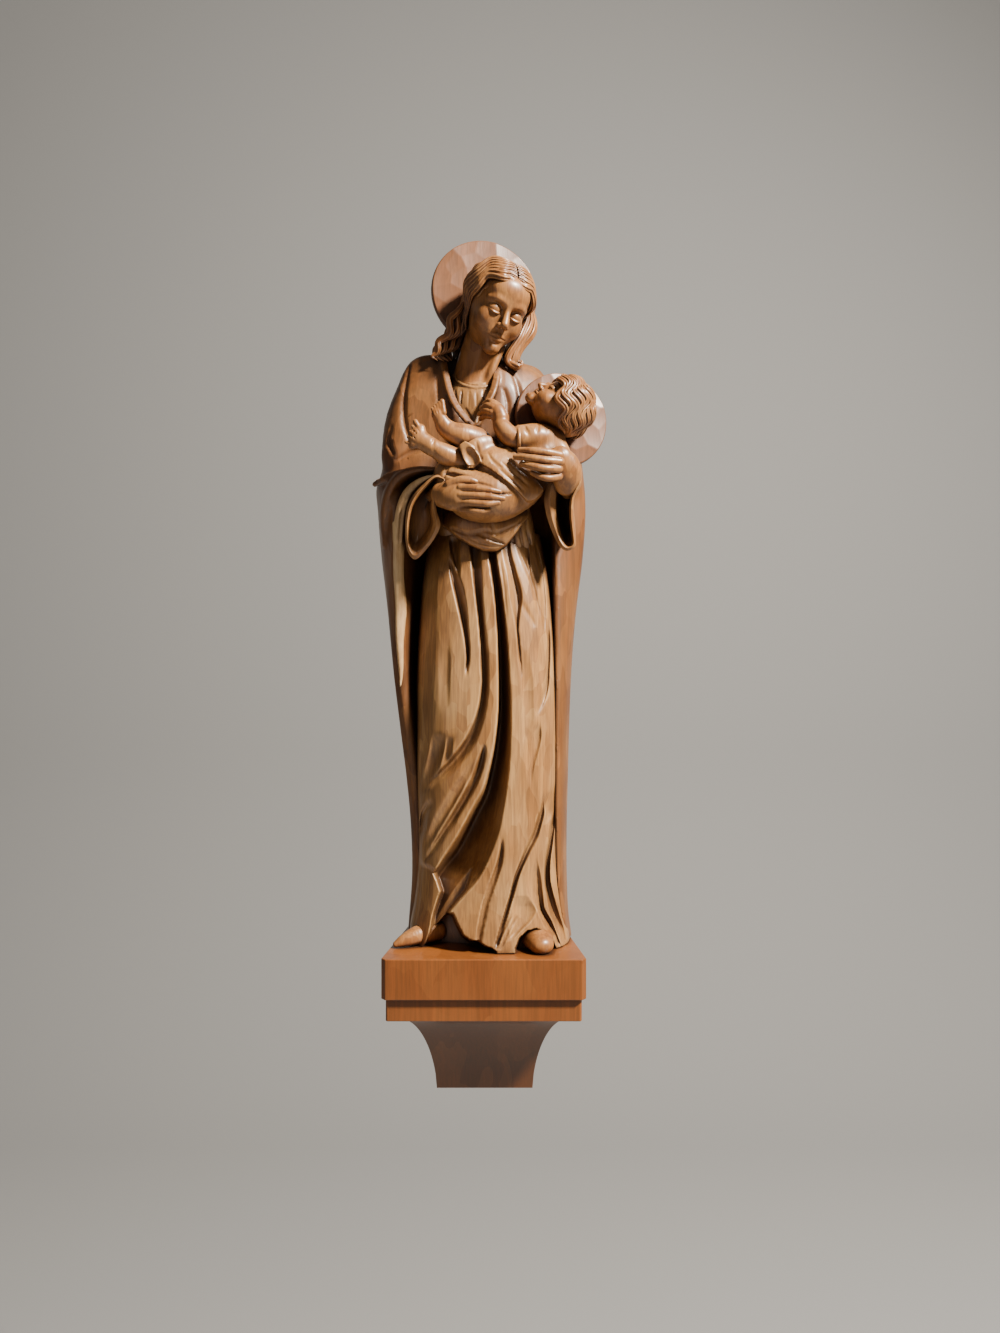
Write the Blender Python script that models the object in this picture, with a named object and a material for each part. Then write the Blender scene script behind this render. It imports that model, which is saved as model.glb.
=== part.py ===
"""Carved Madonna and Child on a wall console, as the separate blocks that it is glued and screwed up from.

Frame: metres, +Z up, the wall is the plane Y = 0 and the figure faces -Y. X = 0 is the middle of the console.
Z = 0 is half way up the console's flat back, where it bears on the wall.
"""

import math

import bmesh
import bpy
from mathutils import Matrix, Vector

MM = 0.001

# Driving sizes, in millimetres.
GAP = 0.3                 # clearance between pieces that touch
GROW = 0.5                # how far a cutter stands proud of the piece that it makes room for
FIGURE_HEIGHT = 600.0     # sole of the figure to the top of her halo
CONSOLE_BACK = 90.0       # height of the console's flat back
CORBEL_HEIGHT = 72.0
PLINTH_HEIGHT = 32.0
PLINTH_FRONT = 164.0      # width along the front
PLINTH_BACK = 130.0       # width along the wall
PLINTH_DEPTH = 116.0
CONSOLE_SETBACK = 4.0     # the console board is this much smaller than the plinth on each side
CORBEL_FOOT_WIDTH = 80.0
CORBEL_FOOT_DEPTH = 66.0
CORNER_CHAMFER = 4.0
PIN_RADIUS = 4.0
PIN_SPACING = 84.0
PIN_DEPTH_IN_CORBEL = 12.0
PIN_DEPTH_IN_PLINTH = 14.0
PIN_Y = -55.0
SCREW_SHANK = 2.5
SCREW_HEAD = 5.0
SCREW_HEAD_HEIGHT = 3.5
SCREW_REACH = 30.0        # how far a figure screw goes into the dress block
SCREW_SPACING = 50.0
HANGER_SPACING = 56.0
HANGER_WIDTH = 16.0
HANGER_HEIGHT = 40.0
HANGER_PLATE = 2.0
HANGER_SCREW_REACH = 14.0
HALO_RADIUS = 46.0
CHILD_HALO_RADIUS = 38.0
HALO_THICKNESS = 5.0
HALO_DISH = 5.0           # depth of the dish in a halo's front
DOWEL_RADIUS = 3.0

CORBEL_BOTTOM = -CONSOLE_BACK / 2
CORBEL_TOP = CORBEL_BOTTOM + CORBEL_HEIGHT
BOARD_BOTTOM = CORBEL_TOP + GAP
BOARD_TOP = CONSOLE_BACK / 2
PLINTH_BOTTOM = BOARD_TOP + GAP
PLINTH_TOP = PLINTH_BOTTOM + PLINTH_HEIGHT
SOLE = PLINTH_TOP + GAP
HALO_TOP = SOLE + FIGURE_HEIGHT

FINISHES = {
    "light_wood": ((0.62, 0.40, 0.24, 1), 0.42, 0.0),
    "mid_wood": ((0.48, 0.27, 0.14, 1), 0.42, 0.0),
    "console_wood": ((0.42, 0.19, 0.08, 1), 0.38, 0.0),
    "raw_wood": ((0.66, 0.48, 0.30, 1), 0.7, 0.0),
    "steel": ((0.55, 0.55, 0.56, 1), 0.35, 1.0),
}


# ---------------------------------------------------------------- helpers

def clear_scene():
    for old in list(bpy.data.objects):
        bpy.data.objects.remove(old)


def make_finish(name):
    colour, roughness, metallic = FINISHES[name]
    material = bpy.data.materials.new(name)
    material.use_nodes = True
    shader = material.node_tree.nodes["Principled BSDF"]
    shader.inputs["Base Color"].default_value = colour
    shader.inputs["Roughness"].default_value = roughness
    shader.inputs["Metallic"].default_value = metallic
    return material


def finish_object(mesh_maker, name, finish):
    """An object of that name from a bmesh, with its normals outwards and its flat or round faces shaded to suit."""
    bmesh.ops.remove_doubles(mesh_maker, verts=mesh_maker.verts, dist=1e-6)
    bmesh.ops.recalc_face_normals(mesh_maker, faces=mesh_maker.faces)
    mesh = bpy.data.meshes.new(name)
    mesh_maker.to_mesh(mesh)
    mesh_maker.free()
    mesh.shade_smooth()
    mesh.set_sharp_from_angle(angle=math.radians(40))
    mesh.materials.append(materials[finish])
    made = bpy.data.objects.new(name, mesh)
    bpy.context.scene.collection.objects.link(made)
    return made


def skin(name, rings, finish):
    """A closed body through rings of points in millimetres, each with the same number of points."""
    maker = bmesh.new()
    rows = [[maker.verts.new(Vector(point) * MM) for point in ring] for ring in rings]
    count = len(rows[0])
    for low, high in zip(rows, rows[1:]):
        for i in range(count):
            j = (i + 1) % count
            maker.faces.new((low[i], low[j], high[j], high[i]))
    maker.faces.new(rows[0])
    maker.faces.new(rows[-1])
    bmesh.ops.triangulate(maker, faces=[f for f in maker.faces if len(f.verts) > 4])
    return finish_object(maker, name, finish)


def oval(centre, half_width, half_depth, z, count=28, squareness=2.0):
    """A level ring round (x, y) at height z. Squareness 2 is an ellipse, and more is boxier."""
    ring = []
    for i in range(count):
        turn = 2 * math.pi * i / count
        c, s = math.cos(turn), math.sin(turn)
        x = centre[0] + half_width * math.copysign(abs(c) ** (2 / squareness), c)
        y = centre[1] + half_depth * math.copysign(abs(s) ** (2 / squareness), s)
        ring.append((x, y, z))
    return ring


def facing_oval(centre, direction, half_across, half_up, count=16):
    """A ring round a centre, square to a direction, with one half size across and the other upwards."""
    forward = Vector(direction).normalized()
    across = forward.cross(Vector((0, 0, 1)))
    if across.length < 0.1:
        across = Vector((1, 0, 0))
    across.normalize()
    up = across.cross(forward)
    ring = []
    for i in range(count):
        turn = 2 * math.pi * i / count
        ring.append(Vector(centre) + across * half_across * math.cos(turn) + up * half_up * math.sin(turn))
    return ring


def limb(name, stations, finish, count=12):
    """A round body through stations of (centre, half size across, half size up), with blunt domed ends."""
    centres = [Vector(station[0]) for station in stations]
    rings = []
    last = len(stations) - 1
    for i, (centre, across, up) in enumerate(stations):
        direction = centres[min(i + 1, last)] - centres[max(i - 1, 0)]
        if i == 0:
            start = Vector(centre) - direction.normalized() * across * 0.55
            rings.append(facing_oval(start, direction, across * 0.5, up * 0.5, count))
        rings.append(facing_oval(centre, direction, across, up, count))
        if i == last:
            end = Vector(centre) + direction.normalized() * across * 0.55
            rings.append(facing_oval(end, direction, across * 0.5, up * 0.5, count))
    return skin(name, rings, finish)


def ball(name, centre, half_sizes, finish, tilt=(0, 0, 0), count=20):
    maker = bmesh.new()
    bmesh.ops.create_uvsphere(maker, u_segments=count, v_segments=count // 2 + 2, radius=1.0)
    made = finish_object(maker, name, finish)
    made.data.transform(Matrix.Diagonal((*(size * MM for size in half_sizes), 1)))
    made.location = Vector(centre) * MM
    made.rotation_euler = [math.radians(angle) for angle in tilt]
    return made


def turned(name, profile, finish, place, direction, count=16):
    """A turned body: profile is a list of (radius, distance along the axis), from one end to the other."""
    rings = []
    axis = Vector(direction).normalized()
    for radius, along in profile:
        rings.append(facing_oval(Vector(place) + axis * along, direction, radius, radius, count))
    return skin(name, rings, finish)


def board(name, low, high, front_half, back_half, depth, finish, chamfer=CORNER_CHAMFER):
    """A board with its back on the wall, narrower there than at the front, with its front corners chamfered."""
    slant = (front_half - back_half) / depth
    side_y = -(depth - chamfer)
    outline = [
        (-back_half, 0), (back_half, 0), (front_half - slant * chamfer, side_y),
        (front_half - chamfer, -depth), (-front_half + chamfer, -depth), (-front_half + slant * chamfer, side_y),
    ]
    rings = [[(x, y, z) for x, y in outline] for z in (low, high)]
    made = skin(name, rings, finish)
    edge = made.modifiers.new("broken_edges", "BEVEL")
    edge.width = 0.8 * MM
    edge.segments = 1
    edge.limit_method = "ANGLE"
    return made


def make_room(piece, *neighbours):
    """Cuts the piece back where its neighbours are, and leaves them a little clearance."""
    for neighbour in neighbours:
        for shape in [neighbour] + joined_shapes.get(neighbour.name, []):
            cutter = bpy.data.objects.new("room_for_" + shape.name, shape.data)
            cutter.location = shape.location
            cutter.rotation_euler = shape.rotation_euler
            bpy.context.scene.collection.objects.link(cutter)
            swell = cutter.modifiers.new("clearance", "DISPLACE")
            swell.mid_level = 0.0
            swell.strength = GROW * MM
            carve_away(piece, cutter)


def join(piece, other):
    """Makes the other shape one body with the piece."""
    joined_shapes.setdefault(piece.name, []).append(other)
    combine(piece, other, "UNION")


def carve_away(piece, cutter):
    combine(piece, cutter, "DIFFERENCE")


def combine(piece, helper, operation):
    helper.hide_render = True
    helper.display_type = "WIRE"
    step = piece.modifiers.new(f"{operation.lower()}_{helper.name}", "BOOLEAN")
    step.operation = operation
    step.object = helper


# ---------------------------------------------------------------- console: corbel, board, pins and hangers

def make_corbel():
    """Its three free sides are a hollow moulding, a quarter sweep from a narrow foot out to the board."""
    top_half = PLINTH_FRONT / 2 - CONSOLE_SETBACK - 5
    top_depth = PLINTH_DEPTH - CONSOLE_SETBACK - 6
    back_share = PLINTH_BACK / PLINTH_FRONT
    lip = 6.0
    rings = []
    steps = 10
    for i in range(steps + 1):
        share = i / steps
        flare = 1 - math.sqrt(1 - share ** 2.2)
        half = CORBEL_FOOT_WIDTH / 2 + (top_half - CORBEL_FOOT_WIDTH / 2) * flare
        depth = CORBEL_FOOT_DEPTH + (top_depth - CORBEL_FOOT_DEPTH) * flare
        z = CORBEL_BOTTOM + (CORBEL_HEIGHT - lip) * share
        rings.append(corbel_ring(half, depth, back_share, z))
    rings.append(corbel_ring(top_half, top_depth, back_share, CORBEL_TOP))
    return skin("corbel", rings, "console_wood")


def corbel_ring(half, depth, back_share, z):
    back = half * back_share
    return [(-back, 0, z), (back, 0, z), (half, -depth, z), (-half, -depth, z)]


def make_console_board():
    half = PLINTH_FRONT / 2 - CONSOLE_SETBACK
    back_half = PLINTH_BACK / 2 - CONSOLE_SETBACK
    depth = PLINTH_DEPTH - CONSOLE_SETBACK
    return board("console_board", BOARD_BOTTOM, BOARD_TOP, half, back_half, depth, "console_wood", 1.5)


def make_pin(side, name):
    length = PIN_DEPTH_IN_CORBEL + GAP + (BOARD_TOP - BOARD_BOTTOM) + GAP + PIN_DEPTH_IN_PLINTH
    place = (side * PIN_SPACING / 2, PIN_Y, CORBEL_TOP - PIN_DEPTH_IN_CORBEL)
    chamfer = 1.0
    profile = [(PIN_RADIUS - chamfer, 0), (PIN_RADIUS, chamfer), (PIN_RADIUS, length - chamfer),
               (PIN_RADIUS - chamfer, length)]
    return turned(name, profile, "raw_wood", place, (0, 0, 1))


def make_bore(pin_name, side, low, high):
    place = (side * PIN_SPACING / 2, PIN_Y, low)
    return turned("bore_for_" + pin_name, [(PIN_RADIUS + GAP, 0), (PIN_RADIUS + GAP, high - low)],
                  "raw_wood", place, (0, 0, 1))


def make_hanger(side, name):
    """A keyhole hanger: a steel plate let in flush with the corbel's back, with a keyhole and two screw holes."""
    x = side * HANGER_SPACING / 2
    half_w, half_h = HANGER_WIDTH / 2, HANGER_HEIGHT / 2
    back = -0.2
    front = back - HANGER_PLATE
    outline = []
    for corner, centre_z in ((1, half_h - half_w), (-1, -half_h + half_w)):
        for i in range(9):
            turn = math.pi * i / 8
            outline.append((x + corner * half_w * math.cos(turn), centre_z + corner * half_w * math.sin(turn)))
    plate = skin(name, [[(px, y, pz) for px, pz in outline] for y in (front, back)], "steel")
    wide = turned("keyhole_" + name, [(4.2, -4), (4.2, 8)], "steel", (x, -4, -5), (0, 1, 0), 16)
    slot = skin("slot_" + name, [[(x - 2.1, y, -5), (x + 2.1, y, -5), (x + 2.1, y, 4), (x - 2.1, y, 4)]
                                 for y in (-6, 2)], "steel")
    carve_away(plate, wide)
    carve_away(plate, slot)
    return plate


def make_hanger_pocket(side, name):
    """The recess behind a keyhole hanger: a shallow housing for the plate and a deeper one for the wall screw's head."""
    x = side * HANGER_SPACING / 2
    half_w, half_h = HANGER_WIDTH / 2 + GAP, HANGER_HEIGHT / 2 + GAP
    floor = -0.2 - HANGER_PLATE - GAP
    outline = []
    for corner, centre_z in ((1, half_h - half_w), (-1, -half_h + half_w)):
        for i in range(9):
            turn = math.pi * i / 8
            outline.append((x + corner * half_w * math.cos(turn), centre_z + corner * half_w * math.sin(turn)))
    housing = skin("housing_" + name, [[(px, y, pz) for px, pz in outline] for y in (floor, 3)], "raw_wood")
    deep = skin("pocket_" + name, [[(x - 5, y, -11), (x + 5, y, -11), (x + 5, y, 9), (x - 5, y, 9)]
                                   for y in (floor - 8, floor + 1)], "raw_wood")
    return housing, deep


def make_hanger_screw(x, z, name):
    head_top = -0.5
    profile = [(2.6, 0), (1.2, 1.8), (1.2, HANGER_SCREW_REACH - 2), (0.4, HANGER_SCREW_REACH)]
    return turned(name, profile, "steel", (x, head_top, z), (0, -1, 0), 12)


# ---------------------------------------------------------------- plinth and figure blocks

def make_plinth():
    return board("plinth", PLINTH_BOTTOM, PLINTH_TOP, PLINTH_FRONT / 2, PLINTH_BACK / 2, PLINTH_DEPTH,
                 "console_wood")


def make_figure_screw(side, name):
    """A countersunk wood screw, up through the plinth into the dress block."""
    place = (side * SCREW_SPACING / 2 + 3, -50, PLINTH_BOTTOM + 1.5)
    length = PLINTH_TOP - PLINTH_BOTTOM + SCREW_REACH
    profile = [(SCREW_HEAD, 0), (SCREW_SHANK, SCREW_HEAD_HEIGHT), (SCREW_SHANK, length - 5), (0.6, length)]
    return turned(name, profile, "steel", place, (0, 0, 1))


def make_screw_mouth(side):
    """The countersink's mouth under the plinth, open downwards."""
    place = (side * SCREW_SPACING / 2 + 3, -50, PLINTH_BOTTOM - 3)
    return turned("mouth", [(SCREW_HEAD + 0.4, 0), (SCREW_HEAD + 0.4, 5)], "raw_wood", place, (0, 0, 1))


def make_dress():
    """The main block: the gown from hem to collar, an oval trunk that swells over the knees and the chest."""
    stations = [
        (SOLE, 4, -50, 57, 42), (110, 3, -49, 56, 41), (150, 2, -49, 55, 41), (200, 2, -49, 56, 43),
        (250, 2, -49, 58, 45), (300, 2, -49, 59, 46), (350, 1, -49, 57, 45), (390, 0, -48, 50, 41),
        (420, -1, -47, 47, 37), (460, -3, -46, 50, 35), (500, -5, -46, 54, 32), (530, -7, -47, 48, 29),
        (548, -9, -49, 32, 24), (554, -9, -51, 22, 18),
    ]
    rings = [oval((x, y), half_x, half_y, z) for z, x, y, half_x, half_y in stations]
    return skin("dress", rings, "light_wood")


def make_mantle():
    """The back block: the cloak, flat against the wall, round the sides of the gown and closed over the shoulders."""
    stations = [
        (SOLE, 5, -34, 67, 32), (130, 5, -34, 65, 32), (200, 4, -35, 66, 33), (260, 2, -36, 69, 34),
        (320, 0, -36, 74, 34), (380, -2, -36, 82, 34), (420, -4, -36, 87, 34), (456, -5, -38, 90, 36),
        (480, -4, -42, 86, 40), (510, -3, -43, 79, 41), (540, -3, -43, 72, 41), (556, -5, -44, 64, 38),
        (565, -8, -44, 50, 28), (569, -10, -44, 36, 18),
    ]
    rings = [oval((x, y), half_x, half_y, z, 36, 2.5) for z, x, y, half_x, half_y in stations]
    return skin("mantle", rings, "mid_wood")


def make_neck_opening():
    """The V between the mantle's two front edges, from the shoulders down to the breast."""
    low, high = 500, 600
    front, back = -110, -58
    ring_low = [(-9, back, low), (-1, back, low), (-1, front, low), (-9, front, low)]
    ring_high = [(-58, back, high), (26, back, high), (26, front, high), (-58, front, high)]
    return skin("neck_opening", [ring_low, ring_high], "mid_wood")


def make_waist_swag():
    """The fold of the mantle that sags across the waist under the child."""
    stations = [((-36, -84, 428), 7, 7), ((-20, -91, 418), 10, 12), ((2, -95, 413), 11, 14),
                ((22, -92, 418), 10, 12), ((36, -84, 430), 7, 7)]
    return limb("waist_swag", stations, "light_wood", 16)


def make_shoe(name, stations):
    return limb(name, stations, "light_wood", 14)


# ---------------------------------------------------------------- head, halos and hands

def make_head():
    """Head, hair and neck from one block, leaning and turned towards the child."""
    skull = ball("head", (10, -74, 604), (30, 33, 37), "light_wood", (14, 14, 0), 24)
    neck = limb("neck", [((-12, -56, 562), 14, 14), ((-6, -60, 575), 14, 13), ((4, -66, 592), 13, 13)],
                "light_wood", 16)
    left_locks = limb("left_locks", [((-18, -60, 604), 9, 12), ((-28, -60, 588), 8, 9), ((-35, -62, 574), 7, 7)],
                      "light_wood")
    right_locks = limb("right_locks", [((36, -74, 600), 8, 12), ((33, -76, 582), 7, 9), ((26, -76, 567), 6, 8)],
                       "light_wood")
    for part in (neck, left_locks, right_locks):
        join(skull, part)
    return skull


def make_halo(name, centre, radius, direction, finish):
    """A turned disc with a dished front, tilted with the head that it stands behind."""
    rim = 1.2
    steps = 4
    profile = [(1.0, -HALO_THICKNESS / 2), (radius - rim, -HALO_THICKNESS / 2), (radius, -HALO_THICKNESS / 2 + rim),
               (radius, HALO_THICKNESS / 2 + HALO_DISH / 2)]
    for i in range(1, steps + 1):
        share = 1 - i / steps
        inner = max(radius * share * 0.96, 1.0)
        profile.append((inner, HALO_THICKNESS / 2 + HALO_DISH / 2 * (2 * share ** 2 - 1) * 0.9))
    return turned(name, profile, finish, centre, direction, 36)


def make_dowel(name, start, direction, length):
    profile = [(DOWEL_RADIUS - 0.6, 0), (DOWEL_RADIUS, 0.6), (DOWEL_RADIUS, length - 0.6), (DOWEL_RADIUS - 0.6, length)]
    return turned(name, profile, "raw_wood", start, direction, 14)


def make_hand(name, wrist, palm, fingers, thumb):
    """A hand with its wrist, its palm and its thumb and fingers, each a pair of (knuckle, tip)."""
    hand = ball(name, palm[0], palm[1], "light_wood", count=18)
    join(hand, limb(name + "_wrist", [(wrist, 7, 7), (palm[0], 6, 9)], "light_wood", 14))
    for i, (knuckle, tip) in enumerate(fingers):
        join(hand, limb(f"{name}_finger_{i + 1}", [(knuckle, 3.3, 3.1), (tip, 2.3, 2.1)], "light_wood", 10))
    join(hand, limb(name + "_thumb", [(thumb[0], 3.8, 3.4), (thumb[1], 2.5, 2.3)], "light_wood", 10))
    return hand


def make_right_hand():
    """Her right hand, under the child's seat, with the fingers level."""
    fingers = [((-22, -115, 450), (13, -121, 448)), ((-23, -115.5, 444.5), (16, -121, 442.3)),
               ((-23, -115, 439), (11, -120, 437)), ((-22, -113, 434), (3, -118, 431.5))]
    return make_hand("right_hand", (-54, -86, 447), ((-26, -112, 443), (11, 7, 12)), fingers,
                     ((-27, -114, 452), (-8, -117, 456)))


def make_left_hand():
    """Her left hand, round the child's back, with the fingers pointing at the breast."""
    fingers = [((58, -112, 476), (27, -120, 482)), ((59, -113, 470.5), (25, -121, 476)),
               ((59, -113, 465), (31, -120, 470)), ((58, -112, 459), (39, -118, 463))]
    return make_hand("left_hand", (70, -84, 448), ((62, -108, 467), (10, 8, 13)), fingers,
                     ((62, -104, 476), (54, -103, 486)))


def make_sleeve(name, stations):
    """A wide sleeve that hangs from the forearm in a long point. Each ring stands square to the forearm."""
    rings = []
    for centre, direction, across, up in stations:
        rings.append(facing_oval(centre, direction, across, up, 18))
    return skin(name, rings, "mid_wood")


def make_right_sleeve():
    forearm = (0.55, -0.8, 0.0)
    return make_sleeve("right_sleeve", [
        ((-80, -56, 450), forearm, 12, 12), ((-73, -66, 445), forearm, 15, 22),
        ((-62, -80, 434), forearm, 14, 32), ((-50, -96, 428), forearm, 12, 34)])


def make_left_sleeve():
    forearm = (-0.35, -0.9, 0.0)
    return make_sleeve("left_sleeve", [
        ((77, -50, 452), forearm, 9, 12), ((74, -62, 447), forearm, 11, 24),
        ((68, -78, 438), forearm, 12, 34), ((61, -96, 434), forearm, 13, 34)])


# ---------------------------------------------------------------- the child

def make_child_body():
    """The child's trunk in his shirt and the cloth that he is wrapped in, one sagging bundle."""
    bundle = ball("child_body", (6, -96, 457), (43, 20, 31), "light_wood", (0, -14, 0), 26)
    chest = limb("child_chest", [((28, -96, 476), 16, 18), ((46, -94, 488), 14, 17), ((56, -92, 498), 10, 11)],
                 "light_wood", 16)
    join(bundle, chest)
    return bundle


def make_child_head():
    return ball("child_head", (64, -94, 517), (26, 22, 22), "light_wood", (0, -20, 0), 22)


def make_child_leg(name, stations):
    return limb(name, stations, "light_wood", 12)


def make_child_arm():
    return limb("child_arm", [((32, -106, 484), 7, 7), ((24, -107, 494), 7, 7), ((15, -105, 506), 6, 6),
                              ((8, -102, 516), 6, 6)], "light_wood", 12)


# ---------------------------------------------------------------- assembly

clear_scene()
materials = {name: make_finish(name) for name in FINISHES}
joined_shapes = {}

corbel = make_corbel()
console_board = make_console_board()
plinth = make_plinth()
dress = make_dress()
mantle = make_mantle()
carve_away(mantle, make_neck_opening())
waist_swag = make_waist_swag()
right_shoe = make_shoe("right_shoe", [((-42, -68, 85), 7, 7), ((-56, -76, 85), 7, 7), ((-66, -82, 84), 5, 6)])
left_shoe = make_shoe("left_shoe", [((40, -70, 88), 12, 9), ((44, -84, 87), 12, 9), ((48, -94, 84), 9, 6)])

head = make_head()
halo_axis = (0.05, -1, 0.05)
halo = make_halo("halo", (-4, -36, HALO_TOP - HALO_RADIUS), HALO_RADIUS, halo_axis, "mid_wood")
halo_dowel = make_dowel("halo_dowel", (2, -36.5, 612), (0.05, -1, 0.0), 24)
child_head = make_child_head()
child_halo = make_halo("child_halo", (64, -66, 511), CHILD_HALO_RADIUS, (-0.05, -1, 0.1), "mid_wood")
child_halo_dowel = make_dowel("child_halo_dowel", (64, -64, 512), (0, -1, 0.05), 20)
child_body = make_child_body()
child_arm = make_child_arm()
lower_leg = make_child_leg("child_lower_leg", [((-20, -98, 472), 7, 7), ((-34, -105, 478), 7, 6.5),
                                               ((-44, -108, 484), 5.5, 5), ((-56, -110, 492), 6, 8)])
upper_leg = make_child_leg("child_upper_leg", [((-4, -98, 488), 9, 9), ((-20, -102, 494), 8, 8),
                                               ((-31, -105, 500), 5.5, 6), ((-37, -108, 512), 5, 6)])
right_hand = make_right_hand()
left_hand = make_left_hand()
right_sleeve = make_right_sleeve()
left_sleeve = make_left_sleeve()

figure_screws = [make_figure_screw(side, name)
                 for side, name in ((-1, "figure_screw_left"), (1, "figure_screw_right"))]
for side, screw in zip((-1, 1), figure_screws):
    carve_away(plinth, make_screw_mouth(side))
make_room(plinth, *figure_screws)

for side, name in ((-1, "locating_pin_left"), (1, "locating_pin_right")):
    make_pin(side, name)
    carve_away(corbel, make_bore("corbel_" + name, side, CORBEL_TOP - PIN_DEPTH_IN_CORBEL - GAP, CORBEL_TOP + 1))
    carve_away(console_board, make_bore("board_" + name, side, BOARD_BOTTOM - 1, BOARD_TOP + 1))
    carve_away(plinth, make_bore("plinth_" + name, side, PLINTH_BOTTOM - 1,
                                 PLINTH_BOTTOM + PIN_DEPTH_IN_PLINTH + 1))

for side, label in ((-1, "left"), (1, "right")):
    hanger_name = "hanger_" + label
    plate = make_hanger(side, hanger_name)
    for pocket in make_hanger_pocket(side, hanger_name):
        carve_away(corbel, pocket)
    for z, end in ((14.5, "upper"), (-15.5, "lower")):
        screw = make_hanger_screw(side * HANGER_SPACING / 2, z, f"hanger_screw_{label}_{end}")
        make_room(plate, screw)
        make_room(corbel, screw)

make_room(halo, halo_dowel)
make_room(head, halo, halo_dowel)
make_room(child_halo, child_halo_dowel)
make_room(child_head, child_halo, child_halo_dowel)
make_room(child_arm, left_hand)
make_room(child_body, right_hand, left_hand, child_arm, lower_leg, upper_leg, child_head, child_halo)
make_room(right_sleeve, right_hand)
make_room(left_sleeve, left_hand, child_halo, child_body)
make_room(waist_swag, child_body, right_hand, right_sleeve, left_sleeve)
make_room(dress, waist_swag, child_body, child_halo, child_head, child_arm, upper_leg, lower_leg, right_sleeve,
          left_sleeve, head, right_shoe, left_shoe, right_hand, *figure_screws)
make_room(mantle, dress, waist_swag, child_body, child_head, child_halo, child_arm, lower_leg, upper_leg,
          right_sleeve, left_sleeve, right_hand, left_hand, head, halo, child_halo_dowel)
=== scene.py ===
import math

import bpy
import numpy as np
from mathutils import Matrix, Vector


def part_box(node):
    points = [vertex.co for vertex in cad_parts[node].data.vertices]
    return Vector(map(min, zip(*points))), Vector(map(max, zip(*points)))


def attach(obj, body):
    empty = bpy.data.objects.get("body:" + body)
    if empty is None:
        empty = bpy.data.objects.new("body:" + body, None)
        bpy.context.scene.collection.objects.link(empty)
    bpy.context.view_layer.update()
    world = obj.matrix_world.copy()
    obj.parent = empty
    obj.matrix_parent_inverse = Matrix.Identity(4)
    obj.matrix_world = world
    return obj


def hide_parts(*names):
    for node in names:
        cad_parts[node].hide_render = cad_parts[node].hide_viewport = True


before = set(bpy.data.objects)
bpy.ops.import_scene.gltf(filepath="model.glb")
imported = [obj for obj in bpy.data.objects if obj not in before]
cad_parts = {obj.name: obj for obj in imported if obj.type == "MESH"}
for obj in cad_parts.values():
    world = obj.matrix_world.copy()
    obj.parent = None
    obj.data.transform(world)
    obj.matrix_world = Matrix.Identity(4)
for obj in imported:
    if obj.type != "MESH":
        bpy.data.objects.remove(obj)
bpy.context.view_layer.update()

import openvdb


# ------------------------------------------------------------------ viewpoint, floor and light
# The statue hangs at eye height, seen from straight in front and a little to its right.
# It is lit by one big soft lamp, high on the right, as if by a window, on a plain pale sweep of paper.

EYE = (12.8, -870.0, 307.0)     # millimetres, in the frame of the solids
FLOOR = -0.88

eye_data = bpy.data.cameras.new("eye")
eye_data.lens = 26.0
eye_data.sensor_width = 36.0
eye_object = bpy.data.objects.new("eye", eye_data)
eye_object.location = [part * 0.001 for part in EYE]
eye_object.rotation_euler = (math.pi / 2, 0, 0)
bpy.context.scene.collection.objects.link(eye_object)
bpy.context.scene.camera = eye_object


def lamp(name, place, aim, size, watts, colour):
    data = bpy.data.lights.new(name, "AREA")
    data.shape = "DISK"
    data.size = size
    data.energy = watts
    data.color = colour
    made = bpy.data.objects.new(name, data)
    made.location = place
    way = [a - b for a, b in zip(place, aim)]
    across = math.hypot(way[0], way[1])
    made.rotation_euler = (math.atan2(across, way[2]), 0, math.atan2(way[0], -way[1]))
    bpy.context.scene.collection.objects.link(made)


lamp("window", (1.50, -1.12, 1.98), (0, -0.05, 0.33), 0.34, 245, (1.0, 0.93, 0.83))
lamp("room", (-1.2, -2.0, 0.5), (0, -0.05, 0.30), 1.6, 3.5, (1.0, 0.95, 0.90))

world = bpy.data.worlds.new("room_light")
world.use_nodes = True
world.node_tree.nodes["Background"].inputs["Color"].default_value = (0.90, 0.88, 0.86, 1)
world.node_tree.nodes["Background"].inputs["Strength"].default_value = 0.10
bpy.context.scene.world = world


def paper_sweep():
    """A floor that curves up into a wall well behind the statue."""
    run, radius, half, back = 2.6, 0.9, 3.5, 2.4
    profile = [(-run, FLOOR)]
    for i in range(17):
        turn = math.pi / 2 * i / 16
        profile.append((back - radius + radius * math.sin(turn), FLOOR + radius - radius * math.cos(turn)))
    profile.append((back, 3.4))
    points = [(x, y, z) for y, z in profile for x in (-half, half)]
    faces = [(2 * i, 2 * i + 1, 2 * i + 3, 2 * i + 2) for i in range(len(profile) - 1)]
    mesh = bpy.data.meshes.new("paper_sweep")
    mesh.from_pydata(points, [], faces)
    mesh.shade_smooth()
    paper = bpy.data.materials.new("pale_paper")
    paper.use_nodes = True
    paper.node_tree.nodes["Principled BSDF"].inputs["Base Color"].default_value = (0.40, 0.397, 0.39, 1)
    paper.node_tree.nodes["Principled BSDF"].inputs["Roughness"].default_value = 0.9
    mesh.materials.append(paper)
    sweep = bpy.data.objects.new("paper_sweep", mesh)
    bpy.context.scene.collection.objects.link(sweep)


paper_sweep()


# ------------------------------------------------------------------ the stains
# The whole statue is limewood, gouge-cut, stained in several tones, rubbed back and waxed to a soft gloss.
# Shade is painted into the hollows, darkening them towards the deep tone, and the stain is worn pale along the
# ridges.

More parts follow.
